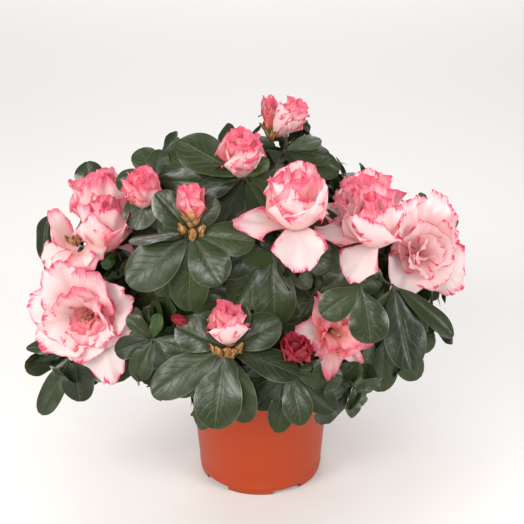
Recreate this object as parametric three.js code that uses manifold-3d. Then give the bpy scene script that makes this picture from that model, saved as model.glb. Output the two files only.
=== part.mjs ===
// A potted azalea in flower: a plastic pot, its root ball, a short stem, tapering boughs and the
// uneven masses of leaves and blossom that they carry.
// Millimetres, +Z up, origin at the middle of the pot's flat underside. -Y is the front.
import * as THREE from 'three';
import { mergeVertices } from 'three/addons/utils/BufferGeometryUtils.js';
import Module from 'manifold-3d';

const wasm = await Module();
wasm.setup();

// ---- driving dimensions ----------------------------------------------------------------------

const clearance = 0.3;            // left between two pieces that touch

const pot = {
  height: 89.5,
  rimRadius: 55,
  footRadius: 46,
  wall: 1.3,
  floor: 1.6,
  footRound: 1.6,                 // rounding where the wall meets the underside
  collarHeight: 19,               // the thicker band under the rim
  collarStep: 2.9,                // how far it stands out from the wall below
  collarFlare: 0.8,               // how much wider it is at the rim than at its lower edge
  shoulder: 1.8,                  // height of the slope that leads out to the collar
  sides: 36,
};

const drain = { count: 5, first: -64, width: 23, height: 3.8, depth: 5.5, hole: 3.2 };

const soil = { top: 79.5, mound: 2.6, moundRadius: 22, flat: 14 };

const stem = {
  foot: soil.top + soil.mound + clearance,
  height: 36,
  flareRadius: 10.5,              // at the cut, where the roots spread
  radius: 6.6,                    // just over the flare
  tipRadius: 4.4,
  lean: [2.5, 3.5],               // how far the tip stands off the foot, in x and y
  sides: 10,
  steps: 8,
};

const bough = { radius: 3.3, sideRadius: 2.2, taper: 0.55, sides: 6, steps: 5 };

const heart = new THREE.Vector3(0, 0, 165);     // middle of the crown

const unevenness = 0.13;          // how far a mass's surface wanders, as a share of its radius
const gapBetweenMasses = 0.8;
const potClearance = 1;
const fineAbove = 38.4;           // a mass over this mean radius is subdivided further
const fine = 3;
const coarse = 2;

// Every mass of foliage. compass is counted from +X towards +Y and lift from the level, both in
// degrees; reach is from the heart of the crown to the middle of the mass. wide, deep and tall are
// its radii across, outwards and upwards. limb is its own bough: it starts on the stem at a height,
// or on another mass's bough at a share of that bough's length.
const masses = [
  { name: 'left_low_blossom', compass: -151, lift: -2, reach: 131, wide: 43, deep: 41, tall: 45,
    limb: { on: 'stem', at: 15 } },
  { name: 'left_hanging_leaves', compass: -160, lift: -20, reach: 150, wide: 30, deep: 35, tall: 33,
    limb: { on: 'left_low_blossom', at: 0.55 } },
  { name: 'left_high_blossom', compass: -167, lift: 26, reach: 118, wide: 40, deep: 43, tall: 40,
    limb: { on: 'stem', at: 27 } },
  { name: 'left_crest_leaves', compass: -152, lift: 44, reach: 106, wide: 32, deep: 31, tall: 30,
    limb: { on: 'left_high_blossom', at: 0.2 } },
  { name: 'middle_left_leaves', compass: -119, lift: 27, reach: 113, wide: 39, deep: 37, tall: 36,
    limb: { on: 'stem', at: 24 } },
  { name: 'middle_blossom', compass: -79, lift: 31, reach: 110, wide: 40, deep: 37, tall: 38,
    limb: { on: 'middle_left_leaves', at: 0.45 } },
  { name: 'top_leaves', compass: -112, lift: 66, reach: 103, wide: 37, deep: 34, tall: 33,
    limb: { on: 'crest_buds', at: 0.4 } },
  { name: 'crest_buds', compass: 14, lift: 78, reach: 96, wide: 34, deep: 33, tall: 32,
    limb: { on: 'stem', at: 36 } },
  { name: 'right_high_blossom', compass: -40, lift: 36, reach: 118, wide: 43, deep: 38, tall: 40,
    limb: { on: 'stem', at: 28 } },
  { name: 'right_blossom', compass: -17, lift: 16, reach: 121, wide: 39, deep: 40, tall: 42,
    limb: { on: 'stem', at: 18 } },
  { name: 'right_low_leaves', compass: -39, lift: -6, reach: 123, wide: 41, deep: 38, tall: 39,
    limb: { on: 'right_blossom', at: 0.42 } },
  { name: 'front_right_blossom', compass: -69, lift: -8, reach: 119, wide: 38, deep: 36, tall: 42,
    limb: { on: 'front_leaves', at: 0.5 } },
  { name: 'front_leaves', compass: -102, lift: -10, reach: 120, wide: 43, deep: 36, tall: 41,
    limb: { on: 'stem', at: 12 } },
  { name: 'left_front_leaves', compass: -130, lift: -7, reach: 112, wide: 36, deep: 36, tall: 40,
    limb: { on: 'front_leaves', at: 0.35 } },
  { name: 'left_rear_leaves', compass: 168, lift: -3, reach: 120, wide: 44, deep: 42, tall: 46,
    limb: { on: 'rear_left_leaves', at: 0.4 } },
  { name: 'rear_left_leaves', compass: 131, lift: 1, reach: 114, wide: 46, deep: 42, tall: 48,
    limb: { on: 'stem', at: 19 } },
  { name: 'rear_leaves', compass: 92, lift: 6, reach: 114, wide: 48, deep: 43, tall: 50,
    limb: { on: 'stem', at: 14 } },
  { name: 'rear_right_leaves', compass: 52, lift: 1, reach: 114, wide: 47, deep: 42, tall: 48,
    limb: { on: 'stem', at: 23 } },
  { name: 'right_rear_leaves', compass: 15, lift: -4, reach: 107, wide: 44, deep: 41, tall: 44,
    limb: { on: 'rear_right_leaves', at: 0.4 } },
  { name: 'rear_left_crest', compass: 140, lift: 36, reach: 93, wide: 41, deep: 37, tall: 36,
    limb: { on: 'rear_left_leaves', at: 0.3 } },
  { name: 'rear_right_crest', compass: 40, lift: 28, reach: 76, wide: 41, deep: 37, tall: 34,
    limb: { on: 'rear_right_leaves', at: 0.3 } },
];

// ---- materials --------------------------------------------------------------------------------

const plain = (color, roughness) => new THREE.MeshStandardMaterial({ color, roughness, metalness: 0 });
const terracottaPlastic = plain(0xb4552f, 0.4);
const darkPeat = plain(0x2b1d14, 0.95);
const brownBark = plain(0x5c4433, 0.85);
const greenLeaves = plain(0x2f4a30, 0.6);
const pinkBlossom = plain(0xf0a3b4, 0.6);

// ---- joining and cutting ----------------------------------------------------------------------

function solidOf(geometry) {
  const bare = geometry.clone();
  bare.deleteAttribute('normal');
  bare.deleteAttribute('uv');
  const joined = mergeVertices(bare, 1e-4);
  return new wasm.Manifold(new wasm.Mesh({
    numProp: 3,
    vertProperties: new Float32Array(joined.attributes.position.array),
    triVerts: new Uint32Array(joined.index.array),
  }));
}

function geometryOf(solid) {
  const { vertProperties, triVerts } = solid.getMesh();
  const geometry = new THREE.BufferGeometry();
  geometry.setAttribute('position', new THREE.BufferAttribute(vertProperties, 3));
  geometry.setIndex(new THREE.BufferAttribute(triVerts, 1));
  geometry.computeVertexNormals();
  return geometry;
}

function mesh(name, solid, material) {
  const made = new THREE.Mesh(geometryOf(solid), material);
  made.name = name;
  return made;
}

// a closed turned solid about the Z axis from [radius, height] pairs, bottom to top
function turned(profile, sides) {
  const points = profile.map(([radius, height]) => new THREE.Vector2(radius, height));
  return solidOf(new THREE.LatheGeometry(points, sides).rotateX(Math.PI / 2));
}

// ---- pot and root ball ------------------------------------------------------------------------

const collarFoot = pot.height - pot.collarHeight;
const wallTopRadius = pot.rimRadius - pot.collarFlare - pot.collarStep;

// outer radius of the pot's wall below the collar at a height
function wallRadius(z) {
  const share = z / (collarFoot - pot.shoulder);
  return THREE.MathUtils.lerp(pot.footRadius, wallTopRadius, share);
}

function potProfile(inset, bottom, top) {
  const foot = bottom + pot.footRound;
  const under = collarFoot - pot.shoulder;
  return [
    [0, bottom],
    [wallRadius(bottom) - pot.footRound - inset, bottom],
    [wallRadius(foot) - inset, foot],
    [wallRadius(under) - inset, under],
    [pot.rimRadius - pot.collarFlare - inset, collarFoot],
    [pot.rimRadius - inset, top],
    [0, top],
  ];
}

// the notches in the foot that let water out, each larger all round by margin
function drainNotches(margin) {
  let notches;
  for (let i = 0; i < drain.count; i += 1) {
    const box = new THREE.BoxGeometry(2 * drain.depth + 2 * margin, drain.width + 2 * margin,
      2 * drain.height + 2 * margin);
    box.translate(pot.footRadius, 0, 0);
    box.rotateZ(THREE.MathUtils.degToRad(drain.first + (360 * i) / drain.count));
    const notch = solidOf(box);
    notches = notches ? notches.add(notch) : notch;
  }
  return notches;
}

// one round hole through the raised floor of each notch
function drainHoles() {
  let holes;
  for (let i = 0; i < drain.count; i += 1) {
    const drill = new THREE.CylinderGeometry(drain.hole / 2, drain.hole / 2, 4 * drain.height, 10);
    drill.rotateX(Math.PI / 2);
    drill.translate(pot.footRadius - drain.depth / 2 - pot.wall / 2, drain.width / 3, 0);
    drill.rotateZ(THREE.MathUtils.degToRad(drain.first + (360 * i) / drain.count));
    const hole = solidOf(drill);
    holes = holes ? holes.add(hole) : hole;
  }
  return holes;
}

function potSolid() {
  const outside = turned(potProfile(0, 0, pot.height), pot.sides).subtract(drainNotches(0));
  const inside = turned(potProfile(pot.wall, pot.floor, pot.height + 1), pot.sides)
    .subtract(drainNotches(pot.wall));
  return outside.subtract(inside).subtract(drainHoles());
}

// it fills the pot to the soil's top, and steps in at its foot to clear the notches
function rootBallSolid() {
  const inset = pot.wall + clearance;
  const bottom = pot.floor + clearance;
  const shelf = drain.height + pot.wall + clearance;
  const share = (soil.top - collarFoot) / pot.collarHeight;
  const edge = pot.rimRadius - pot.collarFlare * (1 - share) - inset;
  return turned([
    [0, bottom],
    [pot.footRadius - drain.depth - inset, bottom],
    [pot.footRadius - drain.depth - inset, shelf],
    [wallRadius(shelf) - inset, shelf],
    ...potProfile(inset, bottom, soil.top).slice(3, 5),
    [edge, soil.top],
    [soil.moundRadius, soil.top],
    [soil.flat, soil.top + soil.mound],
    [0, soil.top + soil.mound],
  ], pot.sides);
}

// the space that the pot takes up, with room round it, which foliage keeps out of
function potSpace() {
  const radius = pot.rimRadius + potClearance;
  const height = pot.height + potClearance;
  return turned([[0, -1], [radius, -1], [radius, height], [0, height]], pot.sides);
}

// ---- stem and boughs --------------------------------------------------------------------------

// A round limb bent along a path. radiusAt gives its radius at each share of the length.
function limbSolid(path, radiusAt, sides, steps) {
  const frames = path.computeFrenetFrames(steps);
  const geometry = new THREE.CylinderGeometry(1, 1, 1, sides, steps);
  const at = geometry.attributes.position;
  for (let i = 0; i < at.count; i += 1) {
    const share = at.getY(i) + 0.5;
    const step = Math.round(share * steps);
    const radius = radiusAt(share);
    const point = path.getPointAt(share)
      .addScaledVector(frames.binormals[step], at.getX(i) * radius)
      .addScaledVector(frames.normals[step], at.getZ(i) * radius);
    at.setXYZ(i, point.x, point.y, point.z);
  }
  return solidOf(geometry);
}

const stemPath = new THREE.CatmullRomCurve3([
  new THREE.Vector3(0, 0, stem.foot - 2),
  new THREE.Vector3(0, 0, stem.foot + 0.25 * stem.height),
  new THREE.Vector3(0.4 * stem.lean[0], 0.7 * stem.lean[1], stem.foot + 0.6 * stem.height),
  new THREE.Vector3(stem.lean[0], stem.lean[1], stem.foot + stem.height),
]);

function stemRadius(share) {
  const flare = (stem.flareRadius - stem.radius) * Math.max(0, 1 - 4 * share) ** 2;
  return THREE.MathUtils.lerp(stem.radius, stem.tipRadius, share) + flare;
}

function stemSolid(grown) {
  const below = new THREE.BoxGeometry(60, 60, 20).translate(0, 0, stem.foot - grown - 10);
  return limbSolid(stemPath, (share) => stemRadius(share) + grown, stem.sides, stem.steps)
    .subtract(solidOf(below));
}

function massMiddle({ compass, lift, reach }) {
  const turn = THREE.MathUtils.degToRad(compass);
  const rise = THREE.MathUtils.degToRad(lift);
  return new THREE.Vector3(Math.cos(rise) * Math.cos(turn), Math.cos(rise) * Math.sin(turn),
    Math.sin(rise)).multiplyScalar(reach).add(heart);
}

const massNamed = (name) => masses.find((mass) => mass.name === name);

// the line of a mass's bough, from its parent limb to the middle of the mass
function boughPath(mass) {
  const end = massMiddle(mass);
  const { on, at } = mass.limb;
  const start = on === 'stem'
    ? stemPath.getPointAt(Math.min(1, at / stem.height) * 0.97)
    : boughPath(massNamed(on)).getPointAt(at);
  const rise = 0.16 * start.distanceTo(end);
  const bend = start.clone().lerp(end, 0.5);
  bend.z += end.z > start.z + 60 ? -0.3 * rise : rise * 0.7;
  const outwards = end.clone().setZ(0).normalize();
  bend.addScaledVector(outwards, end.z > start.z + 60 ? rise * 0.6 : 0);
  return new THREE.CatmullRomCurve3([start, bend, end]);
}

function boughSolid(mass, grown) {
  const radius = mass.limb.on === 'stem' ? bough.radius : bough.sideRadius;
  const radiusAt = (share) => radius * THREE.MathUtils.lerp(1, bough.taper, share) + grown;
  return limbSolid(boughPath(mass), radiusAt, bough.sides, bough.steps);
}

// ---- masses of foliage ------------------------------------------------------------------------

// a smooth uneven factor near 1 for a direction, different for each mass
function lumps(direction, seed) {
  const { x, y, z } = direction;
  const slow = Math.sin(2.3 * x + seed) + Math.sin(2.9 * y + 1.7 * seed) + Math.sin(2.6 * z + 2.3 * seed);
  const quick = Math.sin(5.1 * x + 3.1 * seed) * Math.sin(4.7 * y + seed) + Math.sin(5.6 * z + 5 * seed);
  return 1 + unevenness * (0.45 * slow + 0.35 * quick);
}

const meanRadius = (mass) => Math.cbrt(mass.wide * mass.deep * mass.tall);

// how far a mass may go from its middle in a direction before it meets a neighbour
function roomTowards(mass, direction) {
  const middle = massMiddle(mass);
  const own = meanRadius(mass);
  let room = Infinity;
  for (const other of masses) {
    if (other === mass) continue;
    const across = massMiddle(other).sub(middle);
    const distance = across.length();
    const facing = direction.dot(across) / distance;
    if (facing <= 0) continue;
    const share = (distance ** 2 + own ** 2 - meanRadius(other) ** 2) / (2 * distance);
    room = Math.min(room, (share - gapBetweenMasses / 2) / facing);
  }
  return room;
}

// One closed uneven mass: a subdivided ball drawn out to its radii, lumpy, and stopped where it
// would meet its neighbours.
function massSolid(mass, seed, grown) {
  const ball = new THREE.IcosahedronGeometry(1, meanRadius(mass) > fineAbove ? fine : coarse);
  const middle = massMiddle(mass);
  const turn = THREE.MathUtils.degToRad(mass.compass);
  const at = ball.attributes.position;
  const direction = new THREE.Vector3();
  for (let i = 0; i < at.count; i += 1) {
    direction.fromBufferAttribute(at, i).normalize();
    const outwards = direction.x * Math.cos(turn) + direction.y * Math.sin(turn);
    const sideways = direction.y * Math.cos(turn) - direction.x * Math.sin(turn);
    const full = 1 / Math.hypot(outwards / mass.deep, sideways / mass.wide, direction.z / mass.tall);
    const radius = Math.min(full * lumps(direction, seed), roomTowards(mass, direction)) + grown;
    at.setXYZ(i, ...direction.multiplyScalar(radius).add(middle).toArray());
  }
  return solidOf(ball);
}

// ---- the plant --------------------------------------------------------------------------------

const azalea = new THREE.Group();
azalea.add(mesh('pot', potSolid(), terracottaPlastic));
azalea.add(mesh('root_ball', rootBallSolid(), darkPeat));
azalea.add(mesh('main_stem', stemSolid(0), brownBark));

// limbs that start on the stem come first, so that the side ones are cut back from them
const parentsFirst = [...masses].sort((a, b) => (b.limb.on === 'stem') - (a.limb.on === 'stem'));
let taken = stemSolid(clearance).add(potSpace());
for (const mass of masses) {
  taken = taken.add(massSolid(mass, masses.indexOf(mass) + 1, clearance));
}
for (const mass of parentsFirst) {
  azalea.add(mesh(`bough_to_${mass.name}`, boughSolid(mass, 0).subtract(taken), brownBark));
  taken = taken.add(boughSolid(mass, clearance));
}

const keepOut = potSpace();
masses.forEach((mass, index) => {
  const material = mass.name.endsWith('blossom') ? pinkBlossom : greenLeaves;
  azalea.add(mesh(mass.name, massSolid(mass, index + 1, 0).subtract(keepOut), material));
});

export default azalea;
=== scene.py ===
# Potted azalea in flower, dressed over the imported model. Lengths in the dictionaries are in mm.
import math
import random

import bmesh
import bpy
import numpy as np
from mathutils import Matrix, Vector, noise as fractal


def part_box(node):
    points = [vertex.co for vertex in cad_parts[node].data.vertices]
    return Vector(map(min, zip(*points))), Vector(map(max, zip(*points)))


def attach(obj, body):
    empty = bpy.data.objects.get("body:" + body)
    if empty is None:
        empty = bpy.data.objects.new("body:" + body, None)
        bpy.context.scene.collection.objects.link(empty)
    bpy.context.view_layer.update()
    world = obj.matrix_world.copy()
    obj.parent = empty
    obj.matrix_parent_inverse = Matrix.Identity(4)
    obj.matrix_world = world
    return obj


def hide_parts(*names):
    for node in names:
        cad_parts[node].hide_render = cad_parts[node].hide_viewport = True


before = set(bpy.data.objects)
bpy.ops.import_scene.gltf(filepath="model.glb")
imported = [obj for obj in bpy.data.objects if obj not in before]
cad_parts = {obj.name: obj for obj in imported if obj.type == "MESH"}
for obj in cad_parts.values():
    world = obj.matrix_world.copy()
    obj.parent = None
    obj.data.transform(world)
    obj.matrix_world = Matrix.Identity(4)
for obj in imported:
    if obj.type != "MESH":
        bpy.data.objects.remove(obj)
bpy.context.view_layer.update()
mm = 0.001
boughNames = [name for name in sorted(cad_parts) if name.startswith("bough_to_")]
massNames = [name[len("bough_to_"):] for name in boughNames]
print("frame loaded:", len(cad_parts), "nodes,", len(massNames), "masses")


def boxOf(node):
    low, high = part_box(node)
    return np.array(low) / mm, np.array(high) / mm


massBoxes = {name: boxOf(name) for name in massNames}
potHigh = boxOf("pot")[1]
peatLow, peatHigh = boxOf("root_ball")
stemLow, stemHigh = boxOf("main_stem")
stemFoot = np.array([(stemLow[0] + stemHigh[0]) / 2, (stemLow[1] + stemHigh[1]) / 2, stemLow[2]])
crownHeart = np.array([0.0, 0.0, 165.0])


def middleAndHalf(mass):
    low, high = massBoxes[mass]
    return (low + high) / 2, (high - low) / 2


def spot(mass, shares):
    # a place in a mass, as shares of its half width, depth and height from its middle
    middle, half = middleAndHalf(mass)
    return middle + half * np.array(shares, float)


def heading(compass, lift):
    # unit vector: compass from +X towards +Y, lift from the level, in degrees
    turn, rise = math.radians(compass), math.radians(lift)
    return np.array([math.cos(rise) * math.cos(turn), math.cos(rise) * math.sin(turn), math.sin(rise)])


def unit(v):
    v = np.asarray(v, float)
    return v / max(1e-9, np.linalg.norm(v))


def square(v, against):
    # the part of v that is square to a unit vector
    v = np.asarray(v, float)
    flat = v - against * np.dot(v, against)
    if np.linalg.norm(flat) < 1e-4:
        flat = np.cross(against, [0.31, 0.53, 0.79])       # any vector off the axis will do
    return unit(flat)


def fanned(axis, aside, fan):
    # the way that leans so many degrees from an axis towards a side
    return math.cos(math.radians(fan)) * axis + math.sin(math.radians(fan)) * aside


def linked(name, data):
    # a new object in the scene
    made = bpy.data.objects.new(name, data)
    bpy.context.scene.collection.objects.link(made)
    return made


# camera, lights and floor

view = {"distance": 819.6, "height": 548.7, "aside": 1.2, "pitch": 24.76, "lens": 85.9, "sensor": 36.0}

camera = linked("camera", bpy.data.cameras.new("camera"))
camera.data.lens = view["lens"]
camera.data.sensor_width = view["sensor"]
camera.data.clip_start = 0.05
camera.location = Vector((view["aside"], -view["distance"], view["height"])) * mm
camera.rotation_euler = (math.radians(90 - view["pitch"]), 0, 0)
bpy.context.scene.camera = camera

# each softbox aims at the middle of the crown, or at a place so far behind it
softboxes = {
    "keySoftbox": {"at": (-720, -640, 640), "size": (520, 640), "watts": 13.5, "tint": (1.0, 0.98, 0.95)},
    "fillSoftbox": {"at": (860, -560, 520), "size": (520, 640), "watts": 10, "tint": (1.0, 0.98, 0.97)},
    "frontSoftbox": {"at": (-120, -1150, 760), "size": (620, 420), "watts": 7, "tint": (1.0, 0.99, 0.97)},
    "topSoftbox": {"at": (60, 380, 1150), "size": (1100, 700), "watts": 7, "tint": (0.97, 0.98, 1.0)},
    "farSoftbox": {"at": (0, 2600, 1700), "size": (3000, 1400), "watts": 70, "tint": (1.0, 1.0, 1.0),
                   "aimBack": 2200},
}
aimHeight = 160


def makeSoftboxes():
    for name, box in softboxes.items():
        lamp = bpy.data.lights.new(name, "AREA")
        lamp.shape = "RECTANGLE"
        lamp.size, lamp.size_y = box["size"][0] * mm, box["size"][1] * mm
        lamp.energy = box["watts"]
        lamp.color = box["tint"]
        holder = linked(name, lamp)
        holder.location = Vector(box["at"]) * mm
        aim = Vector((0, box.get("aimBack", 0) * mm, aimHeight * mm)) - holder.location
        holder.rotation_euler = aim.to_track_quat("-Z", "Y").to_euler()


studio = {"floorHalf": 4.0, "floorColour": (0.62, 0.60, 0.58, 1), "floorRoughness": 0.7,
          "sky": (0.9, 0.93, 1.0, 1), "skyStrength": 0.26}       # the floor is in metres


def makeFloor():
    half = studio["floorHalf"]
    mesh = bpy.data.meshes.new("floor")
    corners = [(-half, -half, 0), (half, -half, 0), (half, half, 0), (-half, half, 0)]
    mesh.from_pydata(corners, [], [(0, 1, 2, 3)])
    floor = linked("floor", mesh)
    material = bpy.data.materials.new("paleFloor")
    material.use_nodes = True
    surface = material.node_tree.nodes["Principled BSDF"]
    surface.inputs["Base Color"].default_value = studio["floorColour"]
    surface.inputs["Roughness"].default_value = studio["floorRoughness"]
    mesh.materials.append(material)


def makeSky():
    world = bpy.data.worlds.new("studio")
    world.use_nodes = True
    background = world.node_tree.nodes["Background"]
    background.inputs["Color"].default_value = studio["sky"]
    background.inputs["Strength"].default_value = studio["skyStrength"]
    bpy.context.scene.world = world
    bpy.context.scene.view_settings.view_transform = "Standard"


makeSoftboxes()
makeFloor()
makeSky()
print("camera, lights and floor made")


# mesh stores: sheets and tubes gathered as arrays and joined into one mesh each

def newStore():
    return {"points": [], "quads": [], "places": [], "slots": [], "count": 0}


def quadsOf(index):
    # the corners of every face in a grid of numbered points
    return np.stack([index[:-1, :-1], index[:-1, 1:], index[1:, 1:], index[1:, :-1]], -1).reshape(-1, 4)


def addFaces(store, points, quads, places, slot):
    store["points"].append(points)
    store["quads"].append(quads + store["count"])
    store["places"].append(places)
    store["slots"].append(np.full(len(quads), slot))
    store["count"] += len(points)


def addGrid(store, points, places, slot=0):
    # points are rows x columns x 3, places are the same grid in the pattern map
    rows, columns = points.shape[:2]
    quads = quadsOf(np.arange(rows * columns).reshape(rows, columns))
    addFaces(store, points.reshape(-1, 3), quads, places.reshape(-1, 2)[quads.ravel()], slot)


def barkRidges(angle, along, seed):
    # uneven ridges that wander round a limb, worked out from the angle and the way along it
    return np.sin(3 * angle + 0.11 * along + seed) + 0.6 * np.sin(
        5 * angle - 0.23 * along + 2.1 * seed) + 0.5 * np.sin(0.9 * along + 2 * angle)


def addTube(store, path, radii, sides, slot=0, bumps=0.0, seed=0):
    # a round limb along a path, closed by a small cap at its far end
    path = np.asarray(path, float)
    radii = np.append(np.asarray(radii, float), radii[-1] * 0.1)
    path = np.vstack([path, path[-1] + unit(path[-1] - path[-2]) * radii[-2] * 0.6])
    steps = len(path)
    ahead = np.gradient(path, axis=0)
    ahead /= np.linalg.norm(ahead, axis=1)[:, None]
    across = [square((0.3, 0.2, 1.0), ahead[0])]
    for k in range(1, steps):
        across.append(square(across[-1], ahead[k]))
    across = np.array(across)
    other = np.cross(ahead, across)
    angle = np.linspace(0, 2 * np.pi, sides + 1)
    rim = np.cos(angle)[None, :, None] * across[:, None] + np.sin(angle)[None, :, None] * other[:, None]
    wide = radii[:, None] * np.ones(sides + 1)
    if bumps:
        along = np.concatenate([[0], np.cumsum(np.linalg.norm(np.diff(path, axis=0), axis=1))])
        wide = wide * (1 + bumps * barkRidges(angle, along[:, None], seed))
    points = path[:, None] + rim * wide[:, :, None]
    index = np.arange(steps * sides).reshape(steps, sides)
    quads = quadsOf(np.concatenate([index, index[:, :1]], 1))
    u, v = np.meshgrid(np.linspace(0, 1, sides + 1), np.linspace(0, 1, steps))
    corners = quadsOf(np.arange(steps * (sides + 1)).reshape(steps, sides + 1))
    places = np.stack([u.ravel(), v.ravel()], -1)[corners.ravel()]
    addFaces(store, points[:, :sides].reshape(-1, 3), quads, places, slot)


pieceLimit = 95000           # faces to a joined piece


def joined(name, store, materials, mapName="patternMap"):
    # one piece, or a few once the faces pass the limit
    sizes = np.array([len(quads) for quads in store["quads"]])
    chapters = (np.cumsum(sizes) - 1) // pieceLimit
    pieces = []
    firstPoint = 0
    for chapter in range(chapters[-1] + 1):
        members = np.flatnonzero(chapters == chapter)
        gathered = {key: np.concatenate([store[key][k] for k in members])
                    for key in ("points", "quads", "places", "slots")}
        points = gathered["points"] * mm
        quads = gathered["quads"] - firstPoint
        firstPoint += len(points)
        label = name if chapter == 0 else name + str(chapter + 1)
        mesh = bpy.data.meshes.new(label)
        mesh.vertices.add(len(points))
        mesh.vertices.foreach_set("co", points.ravel())
        mesh.loops.add(quads.size)
        mesh.loops.foreach_set("vertex_index", quads.ravel())
        mesh.polygons.add(len(quads))
        mesh.polygons.foreach_set("loop_start", np.arange(len(quads)) * 4)
        mesh.polygons.foreach_set("material_index", gathered["slots"])
        mesh.polygons.foreach_set("use_smooth", np.ones(len(quads), bool))
        mesh.uv_layers.new(name=mapName)
        mesh.uv_layers[mapName].data.foreach_set("uv", gathered["places"].ravel())
        for material in materials:
            mesh.materials.append(material)
        mesh.update()
        mesh.validate()
        pieces.append(linked(label, mesh))
        print("  ", label, 2 * len(quads), "triangles")
    return pieces


# node helpers and shared groups

def put(tree, kind, **settings):
    node = tree.nodes.new(kind)
    for key, value in settings.items():
        setattr(node, key, value)
    return node


def feed(tree, socket, value):
    if isinstance(value, bpy.types.NodeSocket):
        tree.links.new(value, socket)
    else:
        socket.default_value = value


def feedAll(tree, sockets, values):
    for socket, value in zip(sockets, values):
        feed(tree, socket, value)


def calc(tree, operation, a, b=0.0, c=0.0, clamp=False):
    node = put(tree, "ShaderNodeMath", operation=operation, use_clamp=clamp)
    feedAll(tree, node.inputs, (a, b, c))
    return node.outputs[0]


def times(tree, a, b):
    return calc(tree, "MULTIPLY", a, b)


def timesPlus(tree, a, b, c):
    # a times b, plus c
    return calc(tree, "MULTIPLY_ADD", a, b, c)


def minus(tree, a, b):
    return calc(tree, "SUBTRACT", a, b)


def ramp(tree, value, low, high, outLow=0.0, outHigh=1.0):
    # smooth step of a value from one level to another
    node = put(tree, "ShaderNodeMapRange", interpolation_type="SMOOTHSTEP")
    feedAll(tree, node.inputs, (value, low, high, outLow, outHigh))
    return node.outputs[0]


def blendColours(tree, share, a, b, how="MIX"):
    node = put(tree, "ShaderNodeMix", data_type="RGBA", blend_type=how)
    feedAll(tree, (node.inputs[0], node.inputs[6], node.inputs[7]), (share, a, b))
    return node.outputs[2]


def noise(tree, where, scale, detail=3.0, roughness=0.55):
    node = put(tree, "ShaderNodeTexNoise")
    feed(tree, node.inputs["Vector"], where)
    node.inputs["Scale"].default_value = scale
    node.inputs["Detail"].default_value = detail
    node.inputs["Roughness"].default_value = roughness
    return node.outputs["Fac"]


def stretched(tree, where, scale):
    # the same place with its axes scaled apart, so that a pattern runs along one of them
    node = put(tree, "ShaderNodeMapping")
    feed(tree, node.inputs[0], where)
    node.inputs["Scale"].default_value = scale
    return node.outputs[0]


def vector(tree, x, y, z=0.0):
    node = put(tree, "ShaderNodeCombineXYZ")
    feedAll(tree, node.inputs, (x, y, z))
    return node.outputs[0]


def newGroup(name, inputs, outputs):
    group = bpy.data.node_groups.new(name, "ShaderNodeTree")
    for label, kind, value in inputs:
        socket = group.interface.new_socket(name=label, in_out="INPUT", socket_type="NodeSocket" + kind)
        if value is not None:
            socket.default_value = value
    for label, kind in outputs:
        group.interface.new_socket(name=label, in_out="OUTPUT", socket_type="NodeSocket" + kind)
    return group, put(group, "NodeGroupInput"), put(group, "NodeGroupOutput")


def placeGroup(tree, group, **values):
    node = put(tree, "ShaderNodeGroup", node_tree=group)
    for label, value in values.items():
        feed(tree, node.inputs[label], value)
    return node


atlas = {"cells": 4, "border": 0.02}      # leaves and petals share patterns, one to a cell of the map


def cellPlaces(cell, across, along):
    # where a sheet's grid lies in the pattern map; across runs -1 to 1, along 0 to 1
    side = 1 / atlas["cells"]
    column, row = cell % atlas["cells"], cell // atlas["cells"]
    inner = 1 - 2 * atlas["border"]
    u = (column + atlas["border"] + inner * (0.5 + 0.5 * across)) * side
    v = (row + atlas["border"] + inner * along) * side
    return np.stack([u, v], -1)


def makeCellGroup():
    # across, along, row and a fixed chance for the pattern cell that a point lies in
    group, _, out = newGroup("patternCell", [], [
        ("Across", "Float"), ("Along", "Float"), ("Row", "Float"), ("Chance", "Float"), ("Place", "Vector")])
    pattern = put(group, "ShaderNodeUVMap", uv_map="OFBake").outputs[0]
    parts = put(group, "ShaderNodeSeparateXYZ")
    feed(group, parts.inputs[0], pattern)
    inner = 1 - 2 * atlas["border"]
    wholes, fractions = [], []
    for axis in (0, 1):
        scaled = times(group, parts.outputs[axis], float(atlas["cells"]))
        whole = calc(group, "FLOOR", scaled)
        past = minus(group, minus(group, scaled, whole), atlas["border"])
        wholes.append(whole)
        fractions.append(calc(group, "DIVIDE", past, inner))
    column, row = wholes
    across, along = timesPlus(group, fractions[0], 2.0, -1.0), fractions[1]
    chance = put(group, "ShaderNodeTexWhiteNoise", noise_dimensions="2D")
    feed(group, chance.inputs["Vector"], vector(group, column, row))
    cellNumber = timesPlus(group, row, 7.3, column)              # sets the noise apart from cell to cell
    values = {"Across": across, "Along": along, "Row": row, "Chance": chance.outputs["Value"],
              "Place": vector(group, across, along, times(group, cellNumber, 1.7))}
    for label, value in values.items():
        feed(group, out.inputs[label], value)
    return group


def makeMottleGroup():
    # soft blotches with fine grain on top, both as a mask near 0.5
    inputs = [("Place", "Vector", None), ("Scale", "Float", 40.0), ("Grain", "Float", 0.4),
              ("Contrast", "Float", 1.0)]
    group, given, out = newGroup("mottle", inputs, [("Mask", "Float")])
    layers = []
    for factor in (1.0, 6.0):
        layer = put(group, "ShaderNodeTexNoise")
        feed(group, layer.inputs["Vector"], given.outputs["Place"])
        feed(group, layer.inputs["Scale"], times(group, given.outputs["Scale"], factor))
        layer.inputs["Detail"].default_value = 4.0
        layers.append(layer.outputs["Fac"])
    mixed = put(group, "ShaderNodeMix", data_type="FLOAT")
    feedAll(group, (mixed.inputs[0], mixed.inputs[2], mixed.inputs[3]), (given.outputs["Grain"], *layers))
    centred = minus(group, mixed.outputs[0], 0.5)
    spread = calc(group, "MULTIPLY_ADD", centred, given.outputs["Contrast"], 0.5, clamp=True)
    feed(group, out.inputs["Mask"], spread)
    return group


cellGroup = makeCellGroup()
mottleGroup = makeMottleGroup()


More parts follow.
